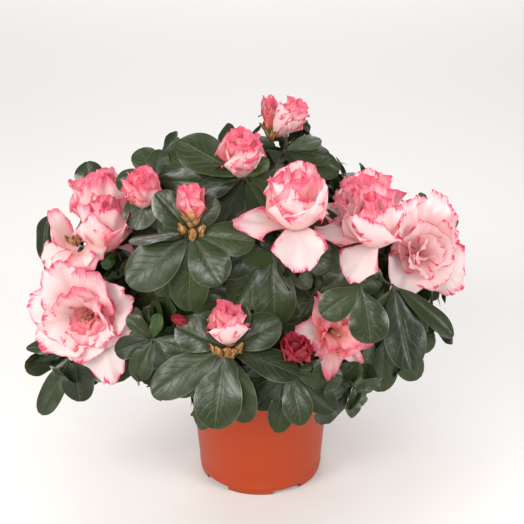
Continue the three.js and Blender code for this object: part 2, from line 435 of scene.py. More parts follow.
def mottled(tree, where, scale, grain, contrast):
    return placeGroup(tree, mottleGroup, Place=where, Scale=scale, Grain=grain, Contrast=contrast).outputs[0]


def newMaterial(name, finish):
    # the plain colour and roughness show only where the nodes that replace them are not read
    material = bpy.data.materials.new(name)
    material.use_nodes = True
    tree = material.node_tree
    surface = tree.nodes["Principled BSDF"]
    surface.inputs["Base Color"].default_value = (*finish["plain"], 1)
    surface.inputs["Roughness"].default_value = finish["roughness"]
    surface.inputs["Specular IOR Level"].default_value = finish["specular"]
    return material, tree, surface


def bumpOn(tree, surface, height, strength, distance):
    bump = put(tree, "ShaderNodeBump")
    bump.inputs["Strength"].default_value = strength
    bump.inputs["Distance"].default_value = distance * mm
    feed(tree, bump.inputs["Height"], height)
    feed(tree, surface.inputs["Normal"], bump.outputs[0])


# leaf surface: dark and leathery above, paler beneath

leafFinish = {
    "plain": (0.03, 0.06, 0.02), "roughness": 0.3, "specular": 0.2,
    "dark": (0.0055, 0.0094, 0.003, 1), "fresh": (0.020, 0.030, 0.007, 1), "young": (0.03, 0.06, 0.012, 1),
    "rib": (0.07, 0.10, 0.035, 1), "margin": (0.15, 0.17, 0.08, 1), "underside": (0.04, 0.058, 0.026, 1),
    "veins": 7.5, "slant": 0.34, "pebble": 22.0, "patch": 4.2,
    "shine": 0.5, "coatIOR": 1.8, "coatRoughness": 0.28, "smoothest": 0.26, "dullest": 0.5,
    "bump": (0.6, 0.6),
}


def makeLeafMaterial():
    finish = leafFinish
    material, tree, surface = newMaterial("leafSurface", finish)
    cell = placeGroup(tree, cellGroup)
    across, along, row = (cell.outputs[label] for label in ("Across", "Along", "Row"))
    aside = calc(tree, "ABSOLUTE", across)
    mottle = mottled(tree, cell.outputs["Place"], 2.2, 0.3, 1.6)
    even = stretched(tree, cell.outputs["Place"], (0.27, 1.0, 1.0))     # the same scale across as along
    pebble = noise(tree, even, finish["pebble"], 2.0, 0.6)
    patch = noise(tree, even, finish["patch"], 3.0, 0.55)

    # veins that slant forward from the midrib and wander a little
    slanted = minus(tree, along, times(tree, aside, finish["slant"]))
    wander = timesPlus(tree, mottle, 0.05, slanted)
    beat = calc(tree, "FRACT", times(tree, wander, finish["veins"]))
    offVein = calc(tree, "ABSOLUTE", minus(tree, beat, 0.5))
    sideVein = ramp(tree, offVein, 0.13, 0.0)
    sideVein = times(tree, sideVein, ramp(tree, aside, 0.9, 0.5))
    midrib = ramp(tree, aside, 0.05, 0.01)
    margin = ramp(tree, aside, 0.95, 0.99)

    age = timesPlus(tree, cell.outputs["Chance"], 0.8, times(tree, mottle, 0.35))
    young = ramp(tree, row, 2.4, 2.6)                                   # the top row of the map
    backfacing = put(tree, "ShaderNodeNewGeometry").outputs["Backfacing"]
    colour = blendColours(tree, age, finish["dark"], finish["fresh"])
    for mask, share, tint in ((young, 0.75, "young"), (sideVein, 0.14, "rib"), (midrib, 0.55, "rib"),
                              (margin, 0.45, "margin"), (backfacing, 0.85, "underside")):
        colour = blendColours(tree, times(tree, mask, share), colour, finish[tint])
    feed(tree, surface.inputs["Base Color"], colour)

    # patches of gloss, most of all on the second row of the map
    pale = calc(tree, "SUBTRACT", 1.0, calc(tree, "ABSOLUTE", minus(tree, row, 1.0)), clamp=True)
    most = timesPlus(tree, pale, 0.46, timesPlus(tree, cell.outputs["Chance"], 0.24, 0.15))
    sheen = times(tree, ramp(tree, patch, 0.32, 0.66, 0.14, 1.1), most)
    sheen = times(tree, sheen, timesPlus(tree, sideVein, -0.6, 1.0))
    feed(tree, surface.inputs["Coat Weight"], times(tree, sheen, finish["shine"]))
    surface.inputs["Coat IOR"].default_value = finish["coatIOR"]
    surface.inputs["Coat Roughness"].default_value = finish["coatRoughness"]
    smoothness = ramp(tree, sheen, 0.05, 0.5, finish["dullest"], finish["smoothest"])
    feed(tree, surface.inputs["Roughness"], smoothness)

    grooves = calc(tree, "ADD", times(tree, sideVein, 0.6), midrib)
    height = minus(tree, times(tree, pebble, 0.8), grooves)
    height = timesPlus(tree, patch, 1.6, height)
    bumpOn(tree, surface, height, *finish["bump"])
    return material


# petal surface: white to blush, with a ragged pink margin that widens from row to row of the map

petalFinish = {
    "plain": (0.9, 0.6, 0.65), "roughness": 0.55, "specular": 0.16,
    "white": (0.94, 0.80, 0.79, 1), "blush": (0.90, 0.42, 0.50, 1), "pink": (0.80, 0.10, 0.21, 1),
    # depth is the coral of the petal foot: partly the throat's own colour, partly painted glow of light
    # bounced between the petals
    "deep": (0.62, 0.009, 0.07, 1), "depth": (0.95, 0.30, 0.24, 1), "crimson": (0.36, 0.004, 0.03, 1),
    "glow": (1.0, 0.86, 0.87, 1), "seeThrough": 0.54,
    "ragged": 0.55, "streaked": 0.30, "fine": 0.22, "margin": 0.065, "marginByRow": 0.17,
    "bump": (0.5, 0.5),
}


def makePetalMaterial():
    finish = petalFinish
    material, tree, surface = newMaterial("petalSurface", finish)
    cell = placeGroup(tree, cellGroup)
    across, along, row = (cell.outputs[label] for label in ("Across", "Along", "Row"))
    aside = calc(tree, "ABSOLUTE", across)
    ragged = noise(tree, cell.outputs["Place"], 4.0, 5.0, 0.6)
    fine = noise(tree, cell.outputs["Place"], 17.0, 4.0, 0.65)
    streak = noise(tree, stretched(tree, cell.outputs["Place"], (9.0, 1.1, 1.0)), 2.2, 3.0, 0.6)

    # how far a point lies in from the margin, made uneven by the three noises
    edge = calc(tree, "MINIMUM", times(tree, minus(tree, 1.0, aside), 0.8),
                times(tree, minus(tree, 1.0, along), 1.25))
    shift = calc(tree, "ADD", times(tree, minus(tree, ragged, 0.5), finish["ragged"]),
                 times(tree, minus(tree, streak, 0.5), finish["streaked"]))
    shift = timesPlus(tree, minus(tree, fine, 0.5), finish["fine"], shift)
    wavy = calc(tree, "ADD", edge, shift)
    reach = timesPlus(tree, row, finish["marginByRow"], finish["margin"])      # how far the colour runs in
    blush = ramp(tree, wavy, timesPlus(tree, reach, 2.0, 0.08), -0.06)
    pink = ramp(tree, wavy, timesPlus(tree, reach, 1.1, 0.03), times(tree, reach, -0.35))
    deep = ramp(tree, wavy, times(tree, reach, 0.6), times(tree, reach, -0.8))
    speck = times(tree, ramp(tree, fine, 0.50, 0.60), blush)
    colour = blendColours(tree, times(tree, blush, 0.7), finish["white"], finish["blush"])
    colour = blendColours(tree, times(tree, pink, 0.9), colour, finish["pink"])
    deepShare = calc(tree, "MAXIMUM", times(tree, speck, 0.45), times(tree, deep, 0.8))
    deepShare = times(tree, deepShare, timesPlus(tree, row, 0.16, 0.62))
    colour = blendColours(tree, deepShare, colour, finish["deep"])

    # a coral foot, stronger on the inner rows: partly the petal's own warm throat and partly painted glow of
    # light bounced between the petals deep in the flower; and crimson all over a petal of the top row, which
    # is still shut
    foot = ramp(tree, along, timesPlus(tree, row, 0.2, 0.55), timesPlus(tree, row, 0.15, 0.05))
    foot = times(tree, foot, timesPlus(tree, row, 0.26, 0.16))
    colour = blendColours(tree, foot, colour, finish["depth"])
    shut = times(tree, ramp(tree, row, 2.4, 2.6), ramp(tree, streak, 0.2, 0.7, 0.97, 0.72))
    colour = blendColours(tree, shut, colour, finish["crimson"])
    feed(tree, surface.inputs["Base Color"], colour)
    feed(tree, surface.inputs["Roughness"], ramp(tree, streak, 0.2, 0.8, 0.48, 0.62))
    height = calc(tree, "ADD", times(tree, streak, 0.9), times(tree, ragged, 0.5))
    bumpOn(tree, surface, height, *finish["bump"])

    through = put(tree, "ShaderNodeBsdfTranslucent")            # light that comes through the thin petal
    feed(tree, through.inputs["Color"], blendColours(tree, 1.0, colour, finish["glow"], "MULTIPLY"))
    both = put(tree, "ShaderNodeMixShader")
    feedAll(tree, both.inputs, (finish["seeThrough"], surface.outputs[0], through.outputs[0]))
    feed(tree, tree.nodes["Material Output"].inputs["Surface"], both.outputs[0])
    return material


# grown surfaces with two colours mottled together and a relief to match: bump is its strength and its depth

grownFinishes = {
    "barkSurface": {"low": (0.07, 0.045, 0.03), "high": (0.22, 0.15, 0.10), "roughness": 0.8, "scale": 160,
                    "bump": (0.8, 0.9), "stretch": (1, 1, 0.35)},
    "youngWood": {"low": (0.045, 0.055, 0.018), "high": (0.09, 0.065, 0.03), "roughness": 0.65, "scale": 300},
    "budScales": {"low": (0.09, 0.018, 0.005), "high": (0.55, 0.31, 0.11), "roughness": 0.5, "scale": 420},
    "greenScales": {"low": (0.12, 0.16, 0.035), "high": (0.28, 0.24, 0.07), "roughness": 0.5, "scale": 260},
    "stamens": {"low": (0.75, 0.42, 0.33), "high": (0.85, 0.6, 0.5), "roughness": 0.5, "scale": 300},
    "anthers": {"low": (0.16, 0.06, 0.015), "high": (0.30, 0.14, 0.04), "roughness": 0.6, "scale": 600},
    "peatSurface": {"low": (0.012, 0.008, 0.006), "high": (0.055, 0.035, 0.022), "roughness": 0.95,
                    "scale": 260, "bump": (1.0, 1.5)},
    "perlite": {"low": (0.55, 0.53, 0.48), "high": (0.75, 0.73, 0.69), "roughness": 0.8, "scale": 700},
}


def makeGrown(name, low, high, roughness, scale, bump=(0.5, 0.4), stretch=(1, 1, 1)):
    plain = {"plain": low, "roughness": roughness, "specular": 0.35}
    material, tree, surface = newMaterial(name, plain)
    where = stretched(tree, put(tree, "ShaderNodeTexCoord").outputs["Object"], stretch)
    mottle = mottled(tree, where, scale, 0.45, 2.2)
    feed(tree, surface.inputs["Base Color"], blendColours(tree, mottle, (*low, 1), (*high, 1)))
    feed(tree, surface.inputs["Roughness"], ramp(tree, mottle, 0.2, 0.8, roughness + 0.06, roughness - 0.06))
    bumpOn(tree, surface, mottle, *bump)
    return material


leafSurface = makeLeafMaterial()
petalSurface = makePetalMaterial()
grown = {name: makeGrown(name, **finish) for name, finish in grownFinishes.items()}
print("materials made")


leaves, petals, calyces, budScales, stamens, wood, twigs = (newStore() for _ in range(7))
shootTips = {name: [] for name in massNames}      # where twigs have to lead in each mass


def runAlong(ahead, length):
    # the points that a run of headings passes through, of the given length in all
    steps = np.cumsum((ahead[1:] + ahead[:-1]) / 2, 0)
    return np.vstack([np.zeros(3), steps]) * length / (len(ahead) - 1)


# one leaf: a narrow stalk, then an oval blade that folds up from its midrib and droops

leafShape = {"stalk": 0.06, "stalkWidth": 0.05, "rise": 0.95, "fall": 0.52, "pointedFall": 0.28,
             "recurve": 0.16, "waves": 9.5, "relief": 0.32, "groove": 0.5, "grooveWidth": 0.1,
             "fine": (24, 12), "coarse": (10, 6)}            # "fine": (24, 12), "coarse": (10, 6)} # faces along and across, for listed leaves and for those by rule


def leafOutline(t, pointed):
    # half width along a leaf as a share of its greatest
    blade = np.clip((t - leafShape["stalk"]) / (1 - leafShape["stalk"]), 0, 1)
    rise, fall = leafShape["rise"], leafShape["fall"] + leafShape["pointedFall"] * pointed
    shape = blade ** rise * (1 - 0.988 * blade) ** fall
    peak = rise / (rise + fall)
    return np.maximum(shape / (peak ** rise * (1 - peak) ** fall), leafShape["stalkWidth"])


def addLeaf(foot, out, up, length, width, droop, fold, wave, sway, phase, cell, pointed, fine):
    along, across = leafShape["fine" if fine else "coarse"]
    t = np.linspace(0, 1, along + 1)
    s = np.linspace(-1, 1, across + 1)
    out = unit(out)
    up = square(up, out)
    side = np.cross(out, up)
    bend = np.radians(droop) * t ** 1.25
    turn = np.radians(sway) * t
    ahead = (np.cos(bend) * np.cos(turn))[:, None] * out - np.sin(bend)[:, None] * up + (
        np.cos(bend) * np.sin(turn))[:, None] * side
    middle = np.asarray(foot) + runAlong(ahead, length)
    normal = np.cos(bend)[:, None] * up + np.sin(bend)[:, None] * out
    lateral = np.cross(ahead, normal)
    half = 0.5 * width * leafOutline(t, pointed)
    edge = np.abs(s)[None, :]
    rise = half[:, None] * (edge * math.tan(math.radians(fold)) - leafShape["recurve"] * edge ** 2)
    broad = (half / half.max())[:, None]
    beat = leafShape["waves"] * t[:, None] + phase + 1.3 * np.sign(s)[None, :]
    ripple = wave * broad * edge ** 2 * np.sin(beat)
    if fine:
        quilted = np.abs(np.cos(np.pi * leafFinish["veins"] * (t[:, None] - leafFinish["slant"] * edge)))
        ripple = ripple + broad * (leafShape["relief"] * quilted * (1 - edge ** 4)
                                   - leafShape["groove"] * np.exp(-(edge / leafShape["grooveWidth"]) ** 2))
    sideways = half[:, None] * s[None, :]
    points = middle[:, None] + lateral[:, None] * sideways[:, :, None] + normal[:, None] * (
        rise + ripple)[:, :, None]
    gridS, gridT = np.meshgrid(s, t)
    addGrid(leaves, points, cellPlaces(cell, gridS, gridT))


# one petal, bent out from the flower's axis, ruffled wide and frilled fine at its margin

petalShape = {"crinkle": 0.32, "jag": 0.022, "ribs": 0.3, "ribCount": 5.0, "roundness": 0.54, "lipFrom": 0.7,
              "fine": 0.65, "coarse": 0.22}                  # "fine": 0.65, "coarse": 0.22} # faces to a mm, for listed petals and for those by rule


def addPetal(store, foot, axis, aside, length, width, opens, cup=(0.9, 0.1), frill=2.2, waves=5.0, phase=0.0,
             cell=0, fine=True, ease=0.8, claw=0.2, lip=0, twist=0):
    # opens is how far the petal leans from the axis at its foot and tip, lip how far its margin rolls back
    density = petalShape["fine" if fine else "coarse"]
    along = int(np.clip(length * density * 0.75, 5, 22))
    across = int(np.clip(width * density, 5, 28))
    t = np.linspace(0, 1, along + 1)
    s = np.linspace(-1, 1, across + 1)
    axis = unit(axis)
    aside = square(aside, axis)
    rolled = np.clip((t - petalShape["lipFrom"]) / 0.3, 0, 1) ** 1.5
    angle = np.radians(opens[0] + (opens[1] - opens[0]) * t ** ease + lip * rolled)
    ahead = np.cos(angle)[:, None] * axis + np.sin(angle)[:, None] * aside
    inward = np.sin(angle)[:, None] * axis - np.cos(angle)[:, None] * aside
    middle = runAlong(ahead, length)
    turned = np.radians(twist) * t[:, None]
    lateral = np.cross(ahead, inward)
    lateral, inward = (np.cos(turned) * lateral + np.sin(turned) * inward,
                       np.cos(turned) * inward - np.sin(turned) * lateral)

    # from a narrow claw to the broad limb, each cross section an arc
    spread = claw + (1 - claw) * np.sin(np.pi * np.clip(0.06 + 0.56 * t, 0, 1)) ** 1.1
    half = 0.5 * width * spread
    curl = cup[0] + (cup[1] - cup[0]) * t
    curl = np.where(np.abs(curl) < 0.02, 0.02, curl)
    sideways = half[:, None] * np.sin(curl[:, None] * s) / curl[:, None]
    inwards = half[:, None] * (1 - np.cos(curl[:, None] * s)) / curl[:, None]

    # a rounded, jagged end, then ruffles that grow towards the margin
    gridS, gridT = np.meshgrid(s, t)
    around = np.arctan2(gridS * 0.9, gridT - 0.2)
    pulled = gridT * (1 - petalShape["roundness"] * np.abs(gridS) ** 2.2 * gridT ** 2)
    jag = np.sin(2.1 * waves * around + 2 * phase) + 0.7 * np.sin(4.3 * waves * around + 5 * phase)
    pulled = pulled * (1 + petalShape["jag"] * gridT ** 4 * jag)
    centre = np.stack([np.interp(pulled, t, middle[:, k]) for k in range(3)], -1)
    margin = np.maximum(np.abs(gridS) ** 2.2 * np.clip(1.6 * gridT, 0, 1), gridT ** 2.6)
    swell = np.sin(waves * around + phase) + 0.5 * np.sin(1.9 * waves * around + 2.7 * phase)
    crimp = np.sin(3.1 * waves * around + 3 * phase) + 0.6 * np.sin(4.7 * waves * around - phase)
    ruffle = frill * (margin * swell + petalShape["crinkle"] * margin ** 3 * crimp)
    ruffle = ruffle + petalShape["ribs"] * gridT * np.cos(petalShape["ribCount"] * np.pi * gridS + phase)
    points = np.asarray(foot) + centre + lateral[:, None] * sideways[:, :, None] + inward[:, None] * (
        inwards + ruffle)[:, :, None]
    addGrid(store, points, cellPlaces(cell, gridS, gridT))


def aroundAxis(axis, degrees):
    # square to an axis that points at the viewer: 0 is up, and the turn is clockwise
    first = square((0.0, 0.05, 1.0), axis)
    return fanned(first, np.cross(first, axis), degrees)


# sprays of leaves: a whorl round the tip of a shoot, the youngest upright in the middle

clearings = [                # opposite corners of the places where the crown stays open
    ((30, -160, 0), (170, 40, 112)), ((114, -160, 0), (170, 0, 148)), ((125, 0, 0), (170, 50, 110)),
    ((-82, -160, 0), (-38, 0, 104)), ((142, -160, 0), (170, 160, 300)), ((-170, -160, 0), (-92, -34, 116))]

blocked = []                 # places that the filling has to keep clear of: middle, way it faces and width
flowerRoom = []              # the flowers among them, which no leaf may cut through
space = {                    # how far ahead of its foot a flower lies and how wide it is, in each list
    "ahead": (15, 20), "open": (40, 30), "shut": (22, 14), "rear": (34, 26), "whorl": 44,
    "behindFlower": 20, "beforeFlower": 45, "behindBlocked": 14, "spray": 8,
}


def keepClear(foot, axis, size):
    # marks the place of a flower in both lists
    for places, ahead, width in zip((blocked, flowerRoom), space["ahead"], space[size]):
        places.append((foot + axis * ahead, axis, width))


def nearAny(point, places, behind, before):
    # true where a point lies over any of the places, from so far behind its face to so far before it
    for middle, axis, width in places:
        offset = point - middle
        ahead = np.dot(offset, axis)
        if -behind < ahead < before and np.linalg.norm(offset - axis * ahead) < width:
            return True
    return False


def inFlower(point):
    return nearAny(point, flowerRoom, space["behindFlower"], space["beforeFlower"])


def covers(tip, axis):
    # true where a spray would stand in front of something set one by one
    return nearAny(tip + axis * space["spray"], blocked, space["behindBlocked"], math.inf)


def inClearing(point):
    return any(np.all(point > low) and np.all(point < high) for low, high in clearings)


def inCrown(point, scale):
    # true inside any mass, each taken as an ellipsoid made larger or smaller by the scale
    for mass in massNames:
        middle, half = middleAndHalf(mass)
        if np.sum(((point - middle) / half) ** 2) < scale ** 2:
            return True
    return False


goldenTurn = 137.5           # degrees from one leaf or scale to the next up a shoot
whorlShape = {
    "rows": (0, 0, 1, 1, 2), "youngRow": 3,      # rows of the pattern map; row 1 has the glossiest leaves
    "spread": (58, 102), "sizeFall": 0.4, "size": (0.85, 1.12), "width": (0.46, 0.58), "pointed": (0.05, 0.6),
    "droop": (5, 38), "fold": (3, 16), "wave": (0.4, 1.8), "sway": (-18, 18), "sag": 0.15, "upward": 0.25,
    "stalkRun": 7, "within": 1.04, "shortened": 0.7, "checks": (0.25, 0.6, 0.95),
}


def cellIn(row, dice):
    return atlas["cells"] * row + dice.randrange(atlas["cells"])


def addWhorl(tip, axis, count, length, dice, spread=whorlShape["spread"], young=1,
             sizeFall=whorlShape["sizeFall"], within=whorlShape["within"]):
    # leaves that would leave the crown are made shorter or left out; gives the number made
    shape = whorlShape
    start = dice.uniform(0, 360)
    made = 0
    for k in range(count):
        share = k / max(1, count - 1)          # 0 is the oldest and lowest leaf
        fan = spread[1] + (spread[0] - spread[1]) * share + dice.uniform(-9, 9)
        aside = aroundAxis(axis, start + goldenTurn * k + dice.uniform(-12, 12))
        out = fanned(axis, aside, fan)
        size = length * (1 - sizeFall * share) * dice.uniform(*shape["size"])
        out = unit(out + np.array([0, 0, -shape["sag"]]))
        row = shape["youngRow"] if k >= count - young else dice.choice(shape["rows"])
        if not inCrown(tip + out * size * 0.9, within):
            size *= shape["shortened"]
            if not inCrown(tip + out * size * 0.9, within):
                continue
        if inClearing(tip + out * size):
            continue
        if any(inFlower(tip + out * size * reach) for reach in shape["checks"]):
            continue
        foot = tip - axis * (1 - share) * shape["stalkRun"]
        up = axis + np.array([0, 0, shape["upward"]])
        addLeaf(foot, out, up, size, size * dice.uniform(*shape["width"]),
                droop=dice.uniform(*shape["droop"]), fold=dice.uniform(*shape["fold"]),
                wave=dice.uniform(*shape["wave"]), sway=dice.uniform(*shape["sway"]),
                phase=dice.uniform(0, 6), cell=cellIn(row, dice), pointed=dice.uniform(*shape["pointed"]),
                fine=False)
        made += 1
    return made


def addWhorlRows(foot, axis, rows, dice):
    # rows: clock turn, fan from the axis, length, width, droop, roll about the leaf, map row
    for turn, fan, length, width, droop, roll, row in rows:
        out = fanned(axis, aroundAxis(axis, turn), fan)
        up = square(axis, out)
        up = fanned(up, np.cross(out, up), roll)
        addLeaf(foot, out, up, length, width, droop=droop, fold=dice.uniform(4, 11),
                wave=dice.uniform(0.5, 1.5), sway=dice.uniform(-10, 10), phase=dice.uniform(0, 6),
                cell=cellIn(row, dice), pointed=dice.uniform(0.05, 0.4), fine=True)


# flowers: rings of petals from the outside in. A ring's petals open so many degrees from the axis at foot and
# tip; first is the clock turn of the first one, or None for any, and row is their row in the pattern map

def ring(count, first, opens, length, width, row, cup=(1.0, 0.2), frill=2.0, ease=0.8, lip=0):
    return {"count": count, "first": first, "opens": opens, "length": length, "width": width, "row": row,
            "cup": cup, "frill": frill, "ease": ease, "lip": lip}


flowerKinds = {
    "rosette": [
        ring(5, None, (30, 96), 38, 38, 0, (0.8, -0.15), 2.0),
        ring(5, None, (22, 76), 33, 35, 0, (0.9, 0.0), 2.4),
        ring(4, None, (12, 52), 27, 31, 1, (1.1, 0.1), 2.4),
        ring(3, None, (5, 30), 20, 23, 2, (1.2, 0.3), 2.2),
        ring(3, None, (0, 14), 13, 13, 3, (1.2, 0.3), 1.5)],
    "heart": [
        ring(4, None, (20, 62), 29, 34, 1, (1.0, 0.1), 2.6),
        ring(4, None, (12, 42), 23, 28, 2, (1.1, 0.2), 2.4),
        ring(3, None, (4, 24), 17, 20, 2, (1.2, 0.3), 2.0),
        ring(2, None, (0, 12), 13, 13, 3, (1.2, 0.3), 1.4)],
    "core": [
        ring(3, 165, (78, 40), 31, 42, 0, (0.95, 0.3), 2.0, 0.6, 12),
        ring(3, 105, (56, 26), 32, 36, 0, (1.0, 0.35), 2.2, 0.6, 14),
        ring(3, 70, (28, 8), 29, 28, 0, (1.1, 0.5), 2.2, 0.6, 14)],
    "dome": [
        ring(3, 190, (88, -14), 40, 52, 0, (0.95, 0.85), 1.5, 0.5, 22),
        ring(3, 135, (70, -8), 44, 47, 0, (1.0, 0.8), 2.0, 0.55, 30),
        ring(3, None, (46, -2), 43, 42, 1, (1.05, 0.7), 2.8, 0.6, 30),
        ring(3, None, (26, 0), 42, 34, 1, (1.1, 0.6), 3.2, 0.7, 26),
        ring(3, None, (10, 4), 38, 27, 1, (1.1, 0.5), 3.0, 0.8, 22)],
    "barrel": [
        ring(3, 170, (74, -14), 27, 36, 0, (1.15, 1.0), 0.9, 0.5, 12),
        ring(3, 120, (62, -12), 29, 36, 1, (1.15, 0.9), 1.5, 0.55, 20),
        ring(3, None, (38, -4), 30, 31, 2, (1.2, 0.8), 2.0, 0.65, 20),
        ring(4, None, (12, 4), 29, 21, 2, (1.2, 0.6), 2.2, 0.8, 18)],
    "vase": [
        ring(3, 200, (46, 0), 28, 32, 0, (1.25, 0.9), 1.1, 0.6, 16),
        ring(3, None, (26, 4), 32, 28, 1, (1.3, 0.7), 1.9, 0.7, 24),
        ring(4, None, (8, 8), 30, 20, 2, (1.2, 0.5), 2.2, 0.8, 18)],
    "tube": [
        ring(3, None, (14, 0), 30, 22, 1, (1.6, 1.2), 0.8, 0.7, 8),
        ring(3, None, (5, 6), 33, 19, 2, (1.6, 0.9), 1.4, 0.8, 14),
        ring(3, None, (0, 4), 33, 15, 3, (1.5, 0.9), 1.5, 0.8, 14)],
    "brush": [
        ring(3, 180, (19, 9), 26, 23, 2, (1.4, 0.9), 0.8, 0.7, 4),
        ring(3, 120, (13, 9), 27, 21, 2, (1.4, 0.9), 1.2, 0.8, 5),
        ring(3, None, (6, 9), 27, 17, 2, (1.4, 0.8), 1.2, 0.8, 6)],
    "bud": [
        ring(4, None, (14, -14), 21, 17, 3, (1.6, 1.4), 0.5),
        ring(3, None, (4, -8), 20, 13, 3, (1.6, 1.3), 0.5)],
}
petalWaves = (4.2, 6.0)      # ruffles round a petal, fewest and most
stamenShape = {"count": {"rosette": 8, "heart": 8}, "height": (14, 20), "out": (1, 5), "bend": (9, 1.5),
               "radii": [0.35, 0.3, 0.25], "anther": [0.5, 0.75, 0.6]}


def addRings(foot, axis, rings, size, dice, fine, redder):
    reddest = 3 if redder > 1 else 2
    for depth, style in enumerate(rings):
        start = dice.uniform(0, 360) if style["first"] is None else style["first"]
        for k in range(style["count"]):
            turn = start + 360 * k / style["count"] + dice.uniform(-12, 12)
            lean = dice.uniform(-10, 10)
            grow = size * dice.uniform(0.92, 1.08)
            row = min(reddest, style["row"] + redder + dice.choice((0, 0, 0, 1)))
            aside = aroundAxis(axis, turn)
            claw = foot + axis * depth * 0.8 * size + aside * (2.4 - 0.4 * depth) * size
            opens = (style["opens"][0] + lean * 0.4, style["opens"][1] + lean)
            addPetal(petals, claw, axis, aside, style["length"] * grow, style["width"] * grow, opens,
                     style["cup"], style["frill"] * size * dice.uniform(0.75, 1.25),
                     dice.uniform(*petalWaves), dice.uniform(0, 6), cellIn(row, dice), fine, style["ease"],
                     lip=style["lip"] * dice.uniform(0.4, 1.4), twist=dice.uniform(-14, 14))


def addHandPetals(foot, axis, rows, dice):
    for turn, openFoot, openTip, length, width, row, *more in rows:
        aside = aroundAxis(axis, turn)
        roll, curled = more or (0, 0.05)
        addPetal(petals, foot + aside * 1.5, axis, aside, length, width, (openFoot, openTip), (0.9, curled),
                 2.4, dice.uniform(*petalWaves), dice.uniform(0, 6), cellIn(row, dice), claw=0.18,
                 twist=roll + dice.uniform(-12, 12))


def addStamens(foot, axis, count, size, dice):
    up, out = stamenShape["bend"]
    for k in range(count):
        aside = aroundAxis(axis, dice.uniform(0, 360))
        height, lean = dice.uniform(*stamenShape["height"]), dice.uniform(*stamenShape["out"])
        tip = foot + axis * height * size + aside * lean * size
        addTube(stamens, [foot, foot + axis * up * size + aside * out, tip], stamenShape["radii"], 5)
        addTube(stamens, [tip - axis * 0.5, tip, tip + axis * 0.9], stamenShape["anther"], 6, 1)


def addCalyx(foot, axis, sepals, size, dice):
    for k in range(sepals):
        aside = aroundAxis(axis, 72 * k + dice.uniform(-15, 15))
        addPetal(calyces, foot - axis * 2.5 + aside, axis, aside, dice.uniform(6.5, 9.5) * size, 4.8 * size,
                 (14, 30), (1.3, 0.8), 0.15, fine=False)


def addFlower(foot, axis, kind, size, dice, fine=True, byHand=(), redder=0, stamenCount=0, sepals=5):
    addRings(foot, axis, flowerKinds[kind] if kind else (), size, dice, fine, redder)
    addHandPetals(foot, axis, byHand, dice)
    addStamens(foot, axis, stamenCount or stamenShape["count"].get(kind, 0), size, dice)
    addCalyx(foot, axis, sepals, size, dice)


def addScales(foot, axis, count, length, dice):
    # tan scales left round the foot of an opening bud
    for k in range(count):
        aside = aroundAxis(axis, goldenTurn * k)
        long = length * dice.uniform(0.7, 1.15)
        addPetal(budScales, foot - axis * dice.uniform(-2, 8) + aside * 1.8, axis, aside, long, long * 0.6,
                 (62, dice.uniform(-10, 36)), (1.4, 1.1), 0.3, phase=dice.uniform(0, 6), fine=False)


sideBud = {"fan": 160, "from": 100, "out": 5, "scales": 6, "length": 11.5, "width": 8.5}


def addSideBuds(foot, axis, count, dice):
    # plump buds in front of the shoot, still shut in their scales
    for k in range(count):
        turn = sideBud["from"] + sideBud["fan"] * (k + 0.5) / count
        aside = aroundAxis(axis, turn + dice.uniform(-8, 8))
        budAxis = unit(axis + aside * dice.uniform(0.3, 0.6))
        budFoot = foot - axis * dice.uniform(7.5, 10.5) + aside * sideBud["out"]
        for scale in range(sideBud["scales"]):
            around = aroundAxis(budAxis, goldenTurn * scale)
            addPetal(budScales, budFoot + budAxis * 0.5 * scale, budAxis, around, sideBud["length"],
                     sideBud["width"], (44, -36), (1.5, 1.4), 0.15, phase=scale, fine=False)
